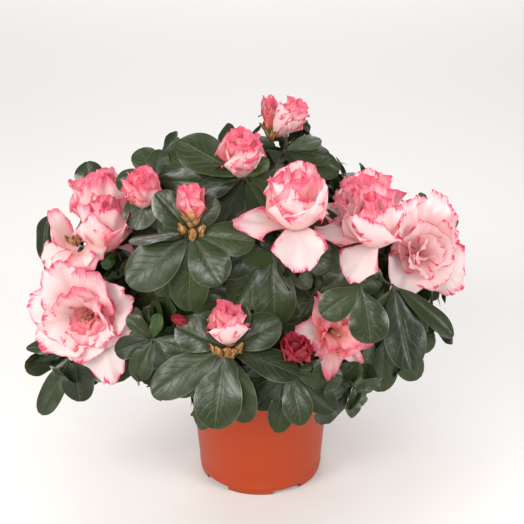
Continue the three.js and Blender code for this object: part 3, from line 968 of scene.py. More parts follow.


# flowers and buds listed one by one, each in its mass at shares of that mass's half size; face is compass and
# lift.
# petals beside the rings are: clock turn, opening at foot and tip, length, width, map row and, where they are
# given, roll and curl at the tip. draw picks another run of the flower's own dice

handFlowers = [
    {"mass": "left_low_blossom", "at": (-0.05, -0.22, 0.08), "face": (-100, 14), "kind": "heart",
     "size": 0.98, "draw": 2,
     "petals": [(335, 22, 72, 55, 46, 0), (12, 20, 66, 53, 46, 1), (58, 30, 76, 46, 44, 0),
                (98, 34, 86, 40, 38, 0), (156, 54, 84, 51, 42, 0), (192, 34, 84, 37, 42, 0),
                (238, 30, 82, 43, 46, 0), (286, 28, 80, 46, 46, 0), (350, 12, 46, 42, 46, 1),
                (262, 20, 62, 38, 46, 0), (312, 16, 52, 34, 40, 0), (126, 18, 60, 34, 36, 0),
                (34, 10, 40, 40, 40, 1), (206, 20, 62, 31, 38, 0), (80, 10, 38, 28, 34, 1)]},
    {"mass": "left_high_blossom", "at": (-0.10, -0.02, -0.30), "face": (110, 84), "kind": "dome",
     "size": 0.92, "draw": 1},
    {"mass": "left_high_blossom", "at": (0.04, -0.62, -0.44), "face": (60, 82), "kind": "dome",
     "size": 0.86, "draw": 1,
     "petals": [(106, 84, 96, 38, 28, 2), (150, 84, 120, 28, 30, 1)]},
    {"mass": "left_high_blossom", "at": (-0.36, -0.66, -0.40), "face": (-112, 66), "kind": None,
     "size": 1.0, "draw": 4, "sepals": 0,
     "petals": [(282, 80, -36, 42, 27, 1, 8, 1.2), (168, 50, 112, 24, 36, 0), (220, 52, 106, 26, 34, 0),
                (128, 50, 100, 26, 34, 1)]},
    {"mass": "left_high_blossom", "at": (-0.42, -0.64, -0.20), "face": (-100, 80), "kind": None,
     "size": 0.9, "draw": 4, "sepals": 0, "scales": 7},
    {"mass": "middle_blossom", "at": (0.02, -0.08, 0.5), "face": (-80, 84), "kind": "dome", "size": 0.94,
     "draw": 4,
     "petals": [(268, 72, 88, 39, 22, 1, 44, 0.1), (178, 92, 150, 31, 38, 0)]},
    {"mass": "right_high_blossom", "at": (-0.18, 0.03, -0.42), "face": (-84, 80), "kind": "dome",
     "size": 1.03, "draw": 3,
     "petals": [(292, 52, 54, 44, 34, 1), (80, 50, 30, 42, 36, 1)]},
    {"mass": "right_high_blossom", "at": (0.0, -0.66, -0.2), "face": (-110, 78), "kind": "dome",
     "size": 0.9, "draw": 1,
     "petals": [(262, 62, 92, 42, 24, 1), (206, 90, 140, 31, 30, 0)]},
    {"mass": "right_blossom", "at": (-0.10, -0.50, 0.40), "face": (-76, 24), "kind": None, "size": 1.0,
     "draw": 1,
     "petals": [(338, 18, 56, 48, 36, 0), (12, 18, 54, 48, 38, 0), (48, 26, 58, 38, 34, 0),
                (92, 30, 66, 32, 34, 0), (149, 38, 92, 47, 44, 0), (212, 36, 76, 54, 36, 0),
                (292, 26, 60, 29, 30, 0), (250, 26, 66, 29, 28, 1)]},
    {"mass": "right_blossom", "at": (0.0, -0.78, 0.30), "face": (-76, 30), "kind": "core", "size": 0.86,
     "draw": 1, "sepals": 0},
    {"mass": "front_right_blossom", "at": (0.03, -0.40, 0.72), "face": (-74, 18), "kind": None, "size": 1.0,
     "stamens": 6,
     "petals": [(332, 24, 74, 40, 20, 2), (280, 30, 88, 31, 22, 1), (196, 28, 88, 34, 17, 2),
                (146, 28, 88, 30, 16, 1), (104, 24, 74, 30, 28, 2), (40, 24, 66, 25, 24, 2),
                (236, 24, 70, 24, 20, 2), (122, 12, 50, 25, 22, 2), (310, 10, 44, 24, 22, 2),
                (205, 10, 42, 20, 18, 2), (30, 6, 32, 20, 18, 2)]},
    {"mass": "crest_buds", "at": (-0.22, -0.02, 0.13), "face": (-8, 56), "kind": "vase", "size": 0.94,
     "draw": 2},
    {"mass": "crest_buds", "at": (-0.38, 0.07, 0.22), "face": (-60, 84), "kind": "tube", "size": 0.74,
     "draw": 2, "redder": 1, "scales": 6, "sideBuds": 1},
    {"mass": "top_leaves", "at": (0.01, -0.35, -0.08), "face": (-80, 80), "kind": "barrel", "size": 1.04,
     "scales": 6},
    {"mass": "left_crest_leaves", "at": (-0.40, -0.65, -0.04), "face": (-96, 78), "kind": "barrel",
     "size": 0.84, "redder": 1},
    {"mass": "middle_left_leaves", "at": (0.29, -0.36, 0.74), "face": (-96, 84), "kind": "brush",
     "size": 1.0, "draw": 3, "scales": 22, "sideBuds": 3},
    {"mass": "front_leaves", "at": (0.15, -0.59, 0.77), "face": (-92, 82), "kind": "barrel", "size": 0.86,
     "draw": 1, "scales": 12, "sideBuds": 5},
    {"mass": "front_right_blossom", "at": (-0.59, -0.68, 0.42), "face": (-112, 62), "kind": "barrel",
     "size": 0.68, "draw": 1, "redder": 3},
    {"mass": "front_leaves", "at": (-0.49, -0.29, 0.90), "face": (-150, 40), "kind": "bud", "size": 0.62,
     "redder": 2},
]

# whorls listed one by one: leaf rows are clock turn, fan, length, width, droop, roll, map row

def evenRows(first, length, width, fan=86, droop=20):
    # seven like leaves all round a shoot
    return [(first + 52 * k, fan, length, width, droop, 0, 0) for k in range(7)]


handWhorls = [
    {"mass": "front_leaves", "at": (0.12, -0.61, 0.70), "face": (-93, 36), "rows": [
        (238, 88, 54, 24, 18, 0, 0), (187, 90, 51, 30, 22, 0, 1), (166, 96, 50, 23, 30, 14, 0),
        (106, 84, 49, 20, 16, -20, 1), (66, 78, 38, 23, 12, 0, 0), (292, 76, 34, 23, 24, 0, 1),
        (24, 62, 30, 16, 10, 0, 2), (214, 106, 44, 20, 34, 0, 0)]},
    {"mass": "middle_left_leaves", "at": (0.27, -0.5, 0.62), "face": (-94, 34), "rows": [
        (228, 86, 51, 29, 16, 0, 0), (150, 80, 37, 26, 26, 0, 1), (183, 100, 50, 25, 24, 0, 0),
        (264, 74, 40, 17, 10, 58, 1), (96, 84, 40, 22, 20, 0, 0), (318, 70, 34, 20, 14, 0, 1),
        (30, 66, 28, 17, 10, 0, 2)]},
    {"mass": "middle_blossom", "at": (-0.36, -0.02, 0.04), "face": (-92, 30), "rows": [
        (216, 92, 46, 25, 20, 0, 0), (176, 88, 50, 28, 22, 0, 0), (134, 96, 40, 20, 30, 0, 0),
        (256, 84, 40, 24, 16, 0, 0), (96, 88, 40, 24, 24, 0, 0)]},
    {"mass": "right_high_blossom", "at": (0.27, -0.9, -0.74), "face": (-80, 30), "rows": [
        (173, 84, 56, 27, 18, 0, 1), (130, 88, 52, 17, 14, -30, 0), (198, 102, 48, 24, 30, 0, 0),
        (152, 104, 48, 24, 30, 0, 0)]},
    {"mass": "front_right_blossom", "at": (0.39, -0.62, 1.58), "face": (-88, 30), "rows": [
        (238, 84, 30, 20, 22, 0, 0), (166, 86, 35, 25, 22, 0, 1)]},
    {"mass": "middle_blossom", "at": (0.56, 0.35, -0.55), "face": (-88, 30), "rows": evenRows(0, 40, 22)},
    {"mass": "front_right_blossom", "at": (-0.35, 0.42, 0.93), "face": (-88, 20),
     "rows": evenRows(20, 38, 22)},
    {"mass": "front_leaves", "at": (0.48, 0.44, 0.92), "face": (-88, 20), "rows": evenRows(0, 36, 21)},
    {"mass": "left_front_leaves", "at": (0.2, 0.7, 1.1), "face": (-100, 20), "rows": evenRows(0, 36, 21)},
    {"mass": "right_low_leaves", "at": (-0.3, -0.3, 0.3), "face": (-70, 20), "rows": [
        (190, 88, 44, 24, 20, 0, 0), (150, 88, 46, 22, 20, 0, 0), (110, 88, 42, 22, 20, 0, 0),
        (230, 88, 38, 22, 20, 0, 0)]},
    {"mass": "front_right_blossom", "at": (-0.73, -0.72, 0.20), "face": (-88, 30), "rows": [
        (192, 94, 40, 17, 22, 0, 0), (168, 86, 34, 19, 18, 0, 1), (132, 90, 38, 18, 18, 0, 0),
        (226, 92, 32, 17, 22, 0, 0), (92, 88, 34, 20, 18, 0, 0)]},
    {"mass": "left_hanging_leaves", "at": (0.14, -0.3, 0.62), "face": (-108, 26), "rows": [
        (201, 92, 55, 18, 14, 0, 1), (165, 86, 37, 24, 24, 0, 0), (250, 90, 42, 12, 18, 52, 1),
        (272, 86, 36, 12, 16, 40, 0), (128, 96, 24, 16, 24, 0, 0)]},
    {"mass": "left_rear_leaves", "at": (-0.86, -0.95, 0.34), "face": (-128, 22), "rows": [
        (352, 84, 38, 23, 14, 0, 1), (84, 146, 36, 20, 10, 0, 0), (30, 138, 34, 19, 10, 0, 1),
        (146, 138, 34, 20, 10, 0, 0)]},
    {"mass": "top_leaves", "at": (0.08, -0.60, 0.02), "face": (-92, 52), "rows": [
        (300, 82, 52, 29, 14, 0, 0), (250, 84, 36, 20, 20, 20, 1), (100, 86, 42, 22, 18, 0, 0),
        (205, 92, 40, 22, 28, 0, 0), (60, 56, 20, 11, 10, 0, 3), (150, 92, 40, 22, 26, 0, 0)]},
    {"mass": "top_leaves", "at": (0.86, 0.10, 0.30), "face": (-70, 48), "rows": [
        (104, 84, 32, 18, 14, 0, 1), (78, 80, 27, 15, 12, -24, 2), (140, 92, 30, 20, 22, 0, 0),
        (250, 88, 34, 18, 18, 0, 0), (116, 90, 41, 22, 20, 0, 0)]},
    {"mass": "left_crest_leaves", "at": (-0.19, -0.30, 0.49), "face": (-100, 48), "rows": [
        (330, 84, 26, 18, 14, 0, 0), (42, 80, 38, 24, 14, 0, 0), (96, 84, 36, 18, 24, 30, 1),
        (262, 86, 26, 18, 18, 0, 0), (8, 74, 21, 15, 10, 0, 0), (196, 92, 36, 23, 20, 0, 0)]},
    {"mass": "left_front_leaves", "at": (-0.05, -0.7, 0.5), "face": (-104, 24), "rows": [
        (200, 88, 30, 17, 18, 0, 0), (150, 86, 28, 15, 18, 0, 0), (250, 88, 28, 15, 18, 0, 0),
        (100, 80, 26, 13, 14, 0, 2), (310, 74, 22, 11, 12, 0, 2), (20, 60, 20, 9, 10, 0, 3)]},
    {"mass": "left_high_blossom", "at": (-0.22, 0.30, 0.02), "face": (-120, 52), "rows": [
        (326, 64, 33, 21, 12, 0, 1), (296, 84, 24, 18, 16, 0, 0)]},
]

handSet = {"drawStep": 20, "scaleLength": 12, "outwards": 40, "middle": 14, "stalk": 2}


def addHandFlower(number, flower):
    dice = random.Random(number + handSet["drawStep"] * flower.get("draw", 0))
    axis = heading(*flower["face"])
    foot = spot(flower["mass"], flower["at"])
    if flower["face"][1] < handSet["outwards"]:  # a flower that faces outwards is placed by its middle
        foot = foot - axis * handSet["middle"]
    addFlower(foot, axis, flower["kind"], flower["size"], dice, True, flower.get("petals", ()),
              flower.get("redder", 0), flower.get("stamens", 0), flower.get("sepals", 5))
    addScales(foot, axis, flower.get("scales", 0), handSet["scaleLength"] * flower["size"], dice)
    addSideBuds(foot, axis, flower.get("sideBuds", 0), dice)
    shootTips[flower["mass"]].append((foot, axis))
    keepClear(foot, axis, "open" if "petals" in flower else "shut")


def addHandWhorl(number, whorl):
    tip, axis = spot(whorl["mass"], whorl["at"]), heading(*whorl["face"])
    foot = tip - axis * handSet["stalk"]
    addWhorlRows(foot, axis, whorl["rows"], random.Random(number))
    shootTips[whorl["mass"]].append((foot, axis))
    blocked.append((tip, axis, space["whorl"]))


for number, flower in enumerate(handFlowers):
    addHandFlower(number, flower)
for number, whorl in enumerate(handWhorls):
    addHandWhorl(number, whorl)
print("flowers and whorls set by hand:", len(handFlowers), "and", len(handWhorls))


# the rest of the crown, by rule: whorls over each mass and through its inside, a few flowers round the back.
# the same dice then grow the wood and strew the peat

dice = random.Random(7)


def anyWay():
    return unit([dice.gauss(0, 1), dice.gauss(0, 1), dice.gauss(0, 1)])


def crowded(tip, taken, gap):
    return any(np.linalg.norm(tip - other) < gap for other in taken)


filling = {"whorls": 8, "tries": 140, "leaves": 8, "length": (34, 48), "depth": (0.5, 0.95), "inset": 0.72,
           "apart": 20, "placedOutward": 0.75, "facingOutward": 0.5, "lift": 0.2, "overRim": 14,
           "pastRim": 24, "fewest": 2}
innerFilling = {"whorls": 9, "leaves": 7, "length": (32, 42), "towardsHeart": 0.4, "scatter": 0.35,
                "facingOutward": 0.6}


def fillMass(name):
    middle, half = middleAndHalf(name)
    outward = unit(middle - crownHeart)
    taken = [tip for tip, _ in shootTips[name]]
    made = 0
    for attempt in range(filling["tries"]):
        if made >= filling["whorls"]:
            break
        direction = unit(anyWay() + filling["placedOutward"] * outward)
        tip = middle + half * direction * dice.uniform(*filling["depth"]) * filling["inset"]
        axis = unit(direction + filling["facingOutward"] * outward + np.array([0, 0, filling["lift"]]))
        if covers(tip, axis) or crowded(tip, taken, filling["apart"]):
            continue
        overPot = np.hypot(tip[0], tip[1]) < potHigh[0] + filling["pastRim"]
        if overPot and tip[2] < potHigh[2] + filling["overRim"]:
            continue
        if addWhorl(tip, axis, filling["leaves"], dice.uniform(*filling["length"]), dice) > filling["fewest"]:
            taken.append(tip)
            shootTips[name].append((tip, axis))
            made += 1
    for attempt in range(innerFilling["whorls"]):
        direction = anyWay()
        tip = (middle - outward * half.mean() * innerFilling["towardsHeart"]
               + direction * half.mean() * innerFilling["scatter"])
        axis = unit(direction + innerFilling["facingOutward"] * outward)
        length = dice.uniform(*innerFilling["length"])
        if addWhorl(tip, axis, innerFilling["leaves"], length, dice) > filling["fewest"]:
            shootTips[name].append((tip, axis))
    return made


rearFlowers = {
    "masses": ["left_rear_leaves", "rear_left_leaves", "rear_leaves", "rear_right_leaves",
               "right_rear_leaves", "rear_left_crest", "rear_right_crest"],
    "kinds": ("rosette", "rosette", "heart", "vase"), "each": 2, "tries": 60, "apart": 52, "behind": 42,
    "depth": 0.4, "backward": 0.25, "highest": 0.2, "below": 0.4, "belowOnCrest": 0.75, "size": (0.85, 1.0),
}
rearBlooms = []              # foot and axis of each


def rearPlace(name, outward):
    # a place and a way to face for one flower, or None where it would be too near the front or another one
    middle, half = middleAndHalf(name)
    jitter = np.array([dice.gauss(0, 1), dice.gauss(0, 1), dice.gauss(-0.2, 0.9)])
    direction = unit(outward + 0.5 * jitter)
    foot = middle + half * direction * rearFlowers["depth"]
    axis = unit(direction * np.array([1, 1, 0.5]) + 0.7 * outward)
    forward = axis[1] < rearFlowers["backward"] or foot[1] < rearFlowers["behind"]
    if forward or crowded(foot, [other for other, _ in rearBlooms], rearFlowers["apart"]):
        return None
    return foot, axis


def addRearFlowers():
    for name in rearFlowers["masses"]:
        middle, half = middleAndHalf(name)
        outward = unit((middle - crownHeart) * np.array([1, 1, 0.4]) + np.array([0, 60, 0]))
        lowered = rearFlowers["belowOnCrest" if name.endswith("crest") else "below"]
        made = 0
        for attempt in range(rearFlowers["tries"]):
            if made == rearFlowers["each"]:
                break
            found = rearPlace(name, outward)
            if found is None:
                continue
            placed, axis = found
            kind = dice.choice(rearFlowers["kinds"])
            foot = placed - np.array([0, 0, max(0.0, placed[2] - middle[2] + half[2] * lowered)])
            axis = unit([axis[0], axis[1], min(axis[2], rearFlowers["highest"])])
            addFlower(foot, axis, kind, dice.uniform(*rearFlowers["size"]), dice, False)
            rearBlooms.append((foot, axis))
            shootTips[name].append((foot, axis))
            keepClear(foot, axis, "rear")
            made += 1
    return len(rearBlooms)


print("flowers round the back:", addRearFlowers())
print("whorls by rule:", sum([fillMass(name) for name in massNames]))

bridges = {"span": 105, "behind": 2, "push": 12, "leaves": 8, "length": (34, 44), "within": 1.3}


def bridgeMasses():
    # sprays over the hollows between neighbouring masses, so that the crown shuts from above and behind
    made = 0
    for k, name in enumerate(massNames):
        for other in massNames[k + 1:]:
            ends = [middleAndHalf(mass)[0] for mass in (name, other)]
            middle = (ends[0] + ends[1]) / 2
            if np.linalg.norm(ends[0] - ends[1]) > bridges["span"] or middle[1] < bridges["behind"]:
                continue
            outward = unit(middle - crownHeart)
            tip = middle + outward * bridges["push"]
            if covers(tip, outward):
                continue
            length = dice.uniform(*bridges["length"])
            leafCount = addWhorl(tip, outward, bridges["leaves"], length, dice, within=bridges["within"])
            if leafCount > filling["fewest"]:
                shootTips[name].append((tip, outward))
                made += 1
    return made


inside = {"sprays": 40, "tries": 400, "radius": 104, "level": (124, 205), "leaves": 8, "length": (34, 44),
          "apart": 27, "within": 1.25}


def fillInside():
    # sprays inside the crown, so that it is leafy to look down into
    taken = []
    for attempt in range(inside["tries"]):
        if len(taken) >= inside["sprays"]:
            break
        turn, reach = dice.uniform(0, 2 * math.pi), inside["radius"] * math.sqrt(dice.uniform(0.04, 1))
        tip = np.array([reach * math.cos(turn), reach * math.sin(turn), dice.uniform(*inside["level"])])
        axis = unit([tip[0] / inside["radius"], tip[1] / inside["radius"], 0.9])
        if covers(tip, axis) or crowded(tip, taken, inside["apart"]):
            continue
        length = dice.uniform(*inside["length"])
        if addWhorl(tip, axis, inside["leaves"], length, dice, within=inside["within"]) > filling["fewest"]:
            nearest = min(massNames, key=lambda name: np.linalg.norm(middleAndHalf(name)[0] - tip))
            shootTips[nearest].append((tip, axis))
            taken.append(tip)
    return len(taken)


print("sprays between masses and inside:", bridgeMasses(), "and", fillInside())

collar = {"leaves": 7, "length": 43, "below": 5, "spread": (84, 104), "sizeFall": 0.2, "within": 1.6}


def addCollars():
    # each flower round the back gets the leaves that stand below it on its shoot
    made = 0
    for foot, axis in rearBlooms:
        made += addWhorl(foot - axis * collar["below"], axis, collar["leaves"], collar["length"], dice,
                         collar["spread"], 0, collar["sizeFall"], collar["within"])
    return made


print("leaves below the flowers round the back:", addCollars())


# wood: stem, boughs and the twigs that lead on from them to every whorl and flower

woodShape = {
    "stemSteps": 16, "stemRadii": ([0, 0.08, 0.22, 0.6, 1], [11.5, 8.6, 6.9, 5.8, 4.2]), "stemSides": 20,
    "boughSteps": 18, "boughShares": [0, 0.12, 0.7, 1], "boughSides": 10, "boughEnd": 1.0,
    "twigSteps": 9, "twigRadii": (1.2, 0.7), "twigSides": 6, "bins": 7,
}


def limbLine(node):
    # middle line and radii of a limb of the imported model, from the stem outwards
    points = np.array([vertex.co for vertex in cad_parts[node].data.vertices]) / mm
    far = points[np.argmax(np.linalg.norm(points - stemFoot, axis=1))]
    near = points[np.argmin(np.linalg.norm(points - stemFoot, axis=1))]
    share = np.clip((points - near) @ (far - near) / np.dot(far - near, far - near), 0, 0.9999)
    chord = unit(far - near)
    line, radii = [], []
    for k in range(woodShape["bins"]):
        part = points[(share * woodShape["bins"]).astype(int) == k]
        if len(part) > 3:
            line.append((part.max(0) + part.min(0)) / 2)
            off = part - line[-1]
            off = off - np.outer(off @ chord, chord)
            radii.append(np.percentile(np.linalg.norm(off, axis=1), 60))
    return np.array(line), np.array(radii)


def smoothLine(points, count):
    # a smooth run of points through the ones given
    points = np.asarray(points, float)
    gaps = np.linalg.norm(np.diff(points, axis=0), axis=1)
    at = np.concatenate([[0], np.cumsum(gaps)])
    want = np.linspace(0, at[-1], count)
    line = np.stack([np.interp(want, at, points[:, k]) for k in range(3)], -1)
    for _ in range(3):
        line[1:-1] = (line[:-2] + 2 * line[1:-1] + line[2:]) / 4
    return line


def growStem():
    foot, top = stemLow[2], stemHigh[2]
    stemLine = [[0, 0, foot - 2], [0, 0, foot + 9], [1, 2.5, foot + 22], [2.5, 3.5, top + 1]]
    path = smoothLine(stemLine, woodShape["stemSteps"])
    radii = np.interp(np.linspace(0, 1, woodShape["stemSteps"]), *woodShape["stemRadii"])
    addTube(wood, path, radii, woodShape["stemSides"], 0, 0.05, 1)
    return path


def growTwigs(name, inner, middle):
    # twigs leave the outer half of a bough, its inner run of points, for each shoot of the mass
    for tip, axis in shootTips[name]:
        begin = inner[dice.randrange(len(inner) // 2, len(inner))]
        if np.linalg.norm(tip - inner[0]) < np.linalg.norm(tip - begin):
            begin = inner[0]
        reach = np.linalg.norm(tip - begin)
        bend = begin + unit(middle - inner[0]) * reach * 0.25
        run = smoothLine([begin, bend, tip - axis * reach * 0.35, tip], woodShape["twigSteps"])
        radii = np.linspace(*woodShape["twigRadii"], woodShape["twigSteps"])
        addTube(twigs, run, radii, woodShape["twigSides"], 0, 0.04, reach)


def growWood():
    stemPath = growStem()
    lines = {name: limbLine("bough_to_" + name) for name in massNames}
    known = list(stemPath)
    for name in massNames:
        known.extend(lines[name][0])
    known = np.array(known)
    steps = woodShape["boughSteps"]
    for name in massNames:
        line, radii = lines[name]
        own = {tuple(p) for p in line}
        others = np.array([p for p in known if tuple(p) not in own])
        joint = others[np.argmin(np.linalg.norm(others - line[0], axis=1))]
        middle = middleAndHalf(name)[0]
        bough = smoothLine([joint, *line[1:], middle], steps)
        widths = [radii.max() * 1.15, radii.max(), radii.min() * 0.8, woodShape["boughEnd"]]
        wide = np.interp(np.linspace(0, 1, steps), woodShape["boughShares"], widths)
        addTube(wood, bough, wide, woodShape["boughSides"], 0, 0.06, len(name))
        growTwigs(name, bough[steps // 2:], middle)


growWood()
print("stem, boughs and twigs made")


# pot: moulded plastic with a collar, notches in its foot and drain holes

pot = {"segments": 144, "wall": 1.3, "floor": 1.6, "footRadius": 46.0, "footRound": 1.6, "mouldLine": 6.5,
       "mouldRidge": 0.22, "collarHeight": 19.0, "collarStep": 2.9, "collarFlare": 0.8, "shoulder": 1.8,
       "rimBand": (3.2, 2.6), "rimStep": 0.25, "lip": 0.6, "sharp": 38}
drain = {"count": 5, "first": -64, "width": 23.0, "height": 3.8, "depth": 5.5, "corner": 0.7, "hole": 3.2,
         "holeLength": 14}


def shapedObject(name, shape):
    mesh = bpy.data.meshes.new(name)
    shape.to_mesh(mesh)
    shape.free()
    return linked(name, mesh)


def turnedSpot(x, y, z, turn):
    return Vector((x * math.cos(turn) - y * math.sin(turn), x * math.sin(turn) + y * math.cos(turn), z)) * mm


def turnedMesh(name, profile):
    # a closed turned solid from radius and height pairs that start and end on the axis
    shape = bmesh.new()
    segments = pot["segments"]
    rings = []
    for radius, height in profile:
        if radius < 1e-6:
            rings.append([shape.verts.new((0, 0, height * mm))])
        else:
            rings.append([shape.verts.new((radius * mm * math.cos(2 * math.pi * k / segments),
                                           radius * mm * math.sin(2 * math.pi * k / segments), height * mm))
                          for k in range(segments)])
    for lower, upper in zip(rings, rings[1:]):
        for k in range(segments):
            n = (k + 1) % segments
            if len(lower) == 1:
                shape.faces.new((lower[0], upper[n], upper[k]))
            elif len(upper) == 1:
                shape.faces.new((lower[k], lower[n], upper[0]))
            else:
                shape.faces.new((lower[k], lower[n], upper[n], upper[k]))
    bmesh.ops.recalc_face_normals(shape, faces=shape.faces)
    return shapedObject(name, shape)


def drainTurns():
    return [math.radians(drain["first"] + 360 * k / drain["count"]) for k in range(drain["count"])]


def notchBlocks(name, margin):
    # blocks where the notches go; with a margin they are the room that the walls of the notches need
    shape = bmesh.new()
    for turn in drainTurns():
        for vertex in bmesh.ops.create_cube(shape, size=1.0)["verts"]:
            x = vertex.co.x * (2 * drain["depth"] + 2 * margin) + pot["footRadius"]
            y = vertex.co.y * (drain["width"] + 2 * margin)
            z = vertex.co.z * (2 * drain["height"] + 2 * margin)
            vertex.co = turnedSpot(x, y, z, turn)
    bmesh.ops.bevel(shape, geom=list(shape.edges), offset=drain["corner"] * mm, segments=2, affect="EDGES")
    return shapedObject(name, shape)


def drainPins(name):
    shape = bmesh.new()
    x = pot["footRadius"] - drain["depth"] / 2 - pot["wall"] / 2
    y = drain["width"] / 3
    radius = drain["hole"] / 2 * mm
    for turn in drainTurns():
        made = bmesh.ops.create_cone(shape, cap_ends=True, segments=20, radius1=radius, radius2=radius,
                                     depth=drain["holeLength"] * mm)["verts"]
        for vertex in made:
            vertex.co += turnedSpot(x, y, 0, turn)
    return shapedObject(name, shape)


def cutBy(target, tool):
    # cuts the tool out of the target and deletes it
    cut = target.modifiers.new("cut", "BOOLEAN")
    cut.operation = "DIFFERENCE"
    cut.solver = "MANIFOLD"
    cut.object = tool
    bpy.context.view_layer.update()
    result = bpy.data.meshes.new_from_object(target.evaluated_get(bpy.context.evaluated_depsgraph_get()))
    target.modifiers.clear()
    old = target.data
    target.data = result
    bpy.data.meshes.remove(old)
    bpy.data.objects.remove(tool)


def arcPoints(centre, radius, fromAngle, toAngle, steps=4):
    angles = np.radians(np.linspace(fromAngle, toAngle, steps + 1))
    return [(centre[0] + radius * math.cos(a), centre[1] + radius * math.sin(a)) for a in angles]


def makePot():
    height, rim = potHigh[2], potHigh[0]
    collarFoot = height - pot["collarHeight"]
    collarRadius = rim - pot["collarFlare"]
    under = collarFoot - pot["shoulder"]
    wallTop = rim - pot["collarFlare"] - pot["collarStep"]

    def wallAt(z):
        return pot["footRadius"] + (wallTop - pot["footRadius"]) * z / under

    line, foot, lip, wall = pot["mouldLine"], pot["footRound"], pot["lip"], pot["wall"]
    outside = [(0, 0)] + arcPoints((wallAt(0) - foot, foot), foot, -90, -4)
    outside += [(wallAt(line - 0.5), line - 0.5), (wallAt(line) + pot["mouldRidge"], line)]
    outside += [(wallAt(line + 0.5), line + 0.5)]
    outside += [(wallAt(z), z) for z in np.linspace(line + 8, under - 1, 6)]
    outside += [(wallTop + 0.2, under), (collarRadius - 0.5, collarFoot - 0.4)]
    outside += [(collarRadius, collarFoot + 0.5)]
    bandFoot, bandTop = pot["rimBand"]
    outside += [(rim - pot["rimStep"], height - bandFoot), (rim, height - bandTop)]
    outside += arcPoints((rim - lip, height - lip), lip, 0, 90) + [(0, height)]
    inside = [(0, pot["floor"]), (wallAt(0) - 2 - wall, pot["floor"]), (wallAt(2) - wall, pot["floor"] + 2)]
    inside += [(wallAt(z) - wall, z) for z in np.linspace(10, under, 6)]
    inside += [(collarRadius - wall, collarFoot + 0.5), (rim - wall, height + 1), (0, height + 1)]
    shell = turnedMesh("potShell", outside)
    hollow = turnedMesh("potHollow", inside)
    cutBy(shell, notchBlocks("notches", 0))
    cutBy(hollow, notchBlocks("notchRoom", wall))
    cutBy(shell, hollow)
    cutBy(shell, drainPins("pins"))
    shell.data.materials.clear()
    for polygon in shell.data.polygons:
        polygon.use_smooth = True
    shell.data.set_sharp_from_angle(angle=math.radians(pot["sharp"]))
    return shell


potFinish = {"plain": (0.30, 0.033, 0.006), "worn": (0.36, 0.048, 0.011), "dust": (0.30, 0.20, 0.13),
             "roughness": 0.38, "specular": 0.25, "smoothest": 0.33, "dullest": 0.46, "bump": (0.25, 0.12)}


def makePotMaterial():
    finish = potFinish
    plain, worn, dust = ((*finish[label], 1) for label in ("plain", "worn", "dust"))
    material, tree, surface = newMaterial("pottedPlastic", finish)
    where = put(tree, "ShaderNodeTexCoord").outputs["Object"]
    broad = mottled(tree, where, 18.0, 0.25, 1.6)
    flow = noise(tree, stretched(tree, where, (1.0, 1.0, 0.12)), 260.0, 2.0)       # drawn out up the wall
    specks = noise(tree, where, 900.0, 1.0)
    colour = blendColours(tree, times(tree, broad, 0.5), plain, worn)
    colour = blendColours(tree, times(tree, ramp(tree, specks, 0.70, 0.76), 0.5), colour, dust)
    feed(tree, surface.inputs["Base Color"], colour)
    rubbed = ramp(tree, broad, 0.2, 0.8, finish["smoothest"], finish["dullest"])
    feed(tree, surface.inputs["Roughness"], rubbed)
    height = calc(tree, "ADD", times(tree, flow, 0.5), times(tree, specks, 0.3))
    bumpOn(tree, surface, height, *finish["bump"])
    return material


potPiece = makePot()
potPiece.data.materials.append(makePotMaterial())
print("pot made:", len(potPiece.data.polygons), "faces")


# peat: a rough surface a little under the rim, with crumbs and a few white grains

peat = {"rings": 26, "spokes": 96, "level": 0.965, "rough": 1.5, "finer": 0.7, "mound": 2.4,
        "moundRadius": 17, "crumbs": 420, "grains": 26, "grain": (0.6, 1.7), "across": 7, "down": 5}


def moundAt(r):
    return peat["mound"] * math.exp(-(r / peat["moundRadius"]) ** 2)


def addPeatBody(store, radius, top):
    floor = peatLow[2]
    profile = [(0.01, floor), (34, floor), (40, floor + 4), (44, floor + 12), (radius - 3.4, top - 14),
               (radius - 1.2, top - 4)]
    smoothRows = len(profile)
    profile += [(r, top) for r in np.linspace(radius - 0.9, 0.3, peat["rings"])]
    angle = np.linspace(0, 2 * np.pi, peat["spokes"] + 1)
    grid = np.zeros((len(profile), len(angle), 3))
    for row, (r, z) in enumerate(profile):
        for column, a in enumerate(angle[:-1]):
            x, y = r * math.cos(a), r * math.sin(a)
            lift = 0.0
            if row >= smoothRows:
                lump = Vector((x * 0.11, y * 0.11, 3.1))
                lift = fractal.noise(lump) * peat["rough"] + fractal.noise(lump * 3.7) * peat["finer"]
                lift += moundAt(r)
            grid[row, column] = (x, y, z + min(lift, peatHigh[2] + 2.5 - z))
        grid[row, -1] = grid[row, 0]
    u, v = np.meshgrid(np.linspace(0, 1, len(angle)), np.linspace(0, 1, len(profile)))
    addGrid(store, grid, np.stack([u, v], -1))


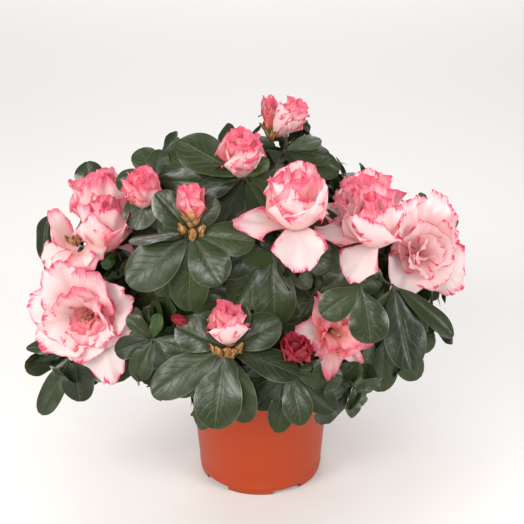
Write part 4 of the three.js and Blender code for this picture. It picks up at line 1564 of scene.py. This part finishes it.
def addCrumb(store, k, radius, top):
    # one uneven lump on the peat; the last few are white grains
    r, a = radius * math.sqrt(dice.uniform(0.02, 0.9)), dice.uniform(0, 2 * math.pi)
    size = dice.uniform(*peat["grain"])
    centre = np.array([r * math.cos(a), r * math.sin(a), top + moundAt(r) + dice.uniform(0, 0.8)])
    phi, theta = np.meshgrid(np.linspace(0, 2 * np.pi, peat["across"]),
                             np.linspace(0.05, np.pi - 0.05, peat["down"]))
    uneven = 1 + 0.3 * np.sin(3 * phi + k) * np.sin(2 * theta + k)
    lump = np.stack([np.cos(phi) * np.sin(theta), np.sin(phi) * np.sin(theta), 0.7 * np.cos(theta)], -1)
    lump = lump[::-1] * (uneven[::-1] * size)[:, :, None]
    lump[:, -1] = lump[:, 0]
    addGrid(store, centre + lump, np.stack([phi / 7, theta / 4], -1), 0 if k < peat["crumbs"] else 1)


def makePeat():
    store = newStore()
    radius = peatHigh[0]
    top = peatLow[2] + (peatHigh[2] - peatLow[2]) * peat["level"]
    addPeatBody(store, radius, top)
    for k in range(peat["crumbs"] + peat["grains"]):
        addCrumb(store, k, radius, top)
    return joined("peat", store, [grown["peatSurface"], grown["perlite"]])[0]


peatPiece = makePeat()

# pieces joined by kind, grouped under the imported model's slot names and all hung on the root body

leafPieces = joined("leaves", leaves, [leafSurface], "OFBake")
petalPieces = joined("petals", petals, [petalSurface], "OFBake")
woodPieces = joined("wood", wood, [grown["barkSurface"]])
calyxPieces = joined("calyces", calyces, [grown["greenScales"]])
scalePieces = joined("budScales", budScales, [grown["budScales"]])
stamenPieces = joined("stamens", stamens, [grown["stamens"], grown["anthers"]])
twigPieces = joined("twigs", twigs, [grown["youngWood"]])
pieceSlots = {
    "pot_plastic": [potPiece], "peat": [peatPiece], "leaves": leafPieces + calyxPieces + scalePieces,
    "blossom": petalPieces + stamenPieces, "bark": woodPieces + twigPieces,
}
for slot, pieces in pieceSlots.items():
    for piece in pieces:
        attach(piece, "root")
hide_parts("pot")
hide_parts("root_ball")
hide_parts("main_stem", *boughNames)
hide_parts(*[name for name in massNames if not name.endswith("blossom")])
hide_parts(*[name for name in massNames if name.endswith("blossom")])
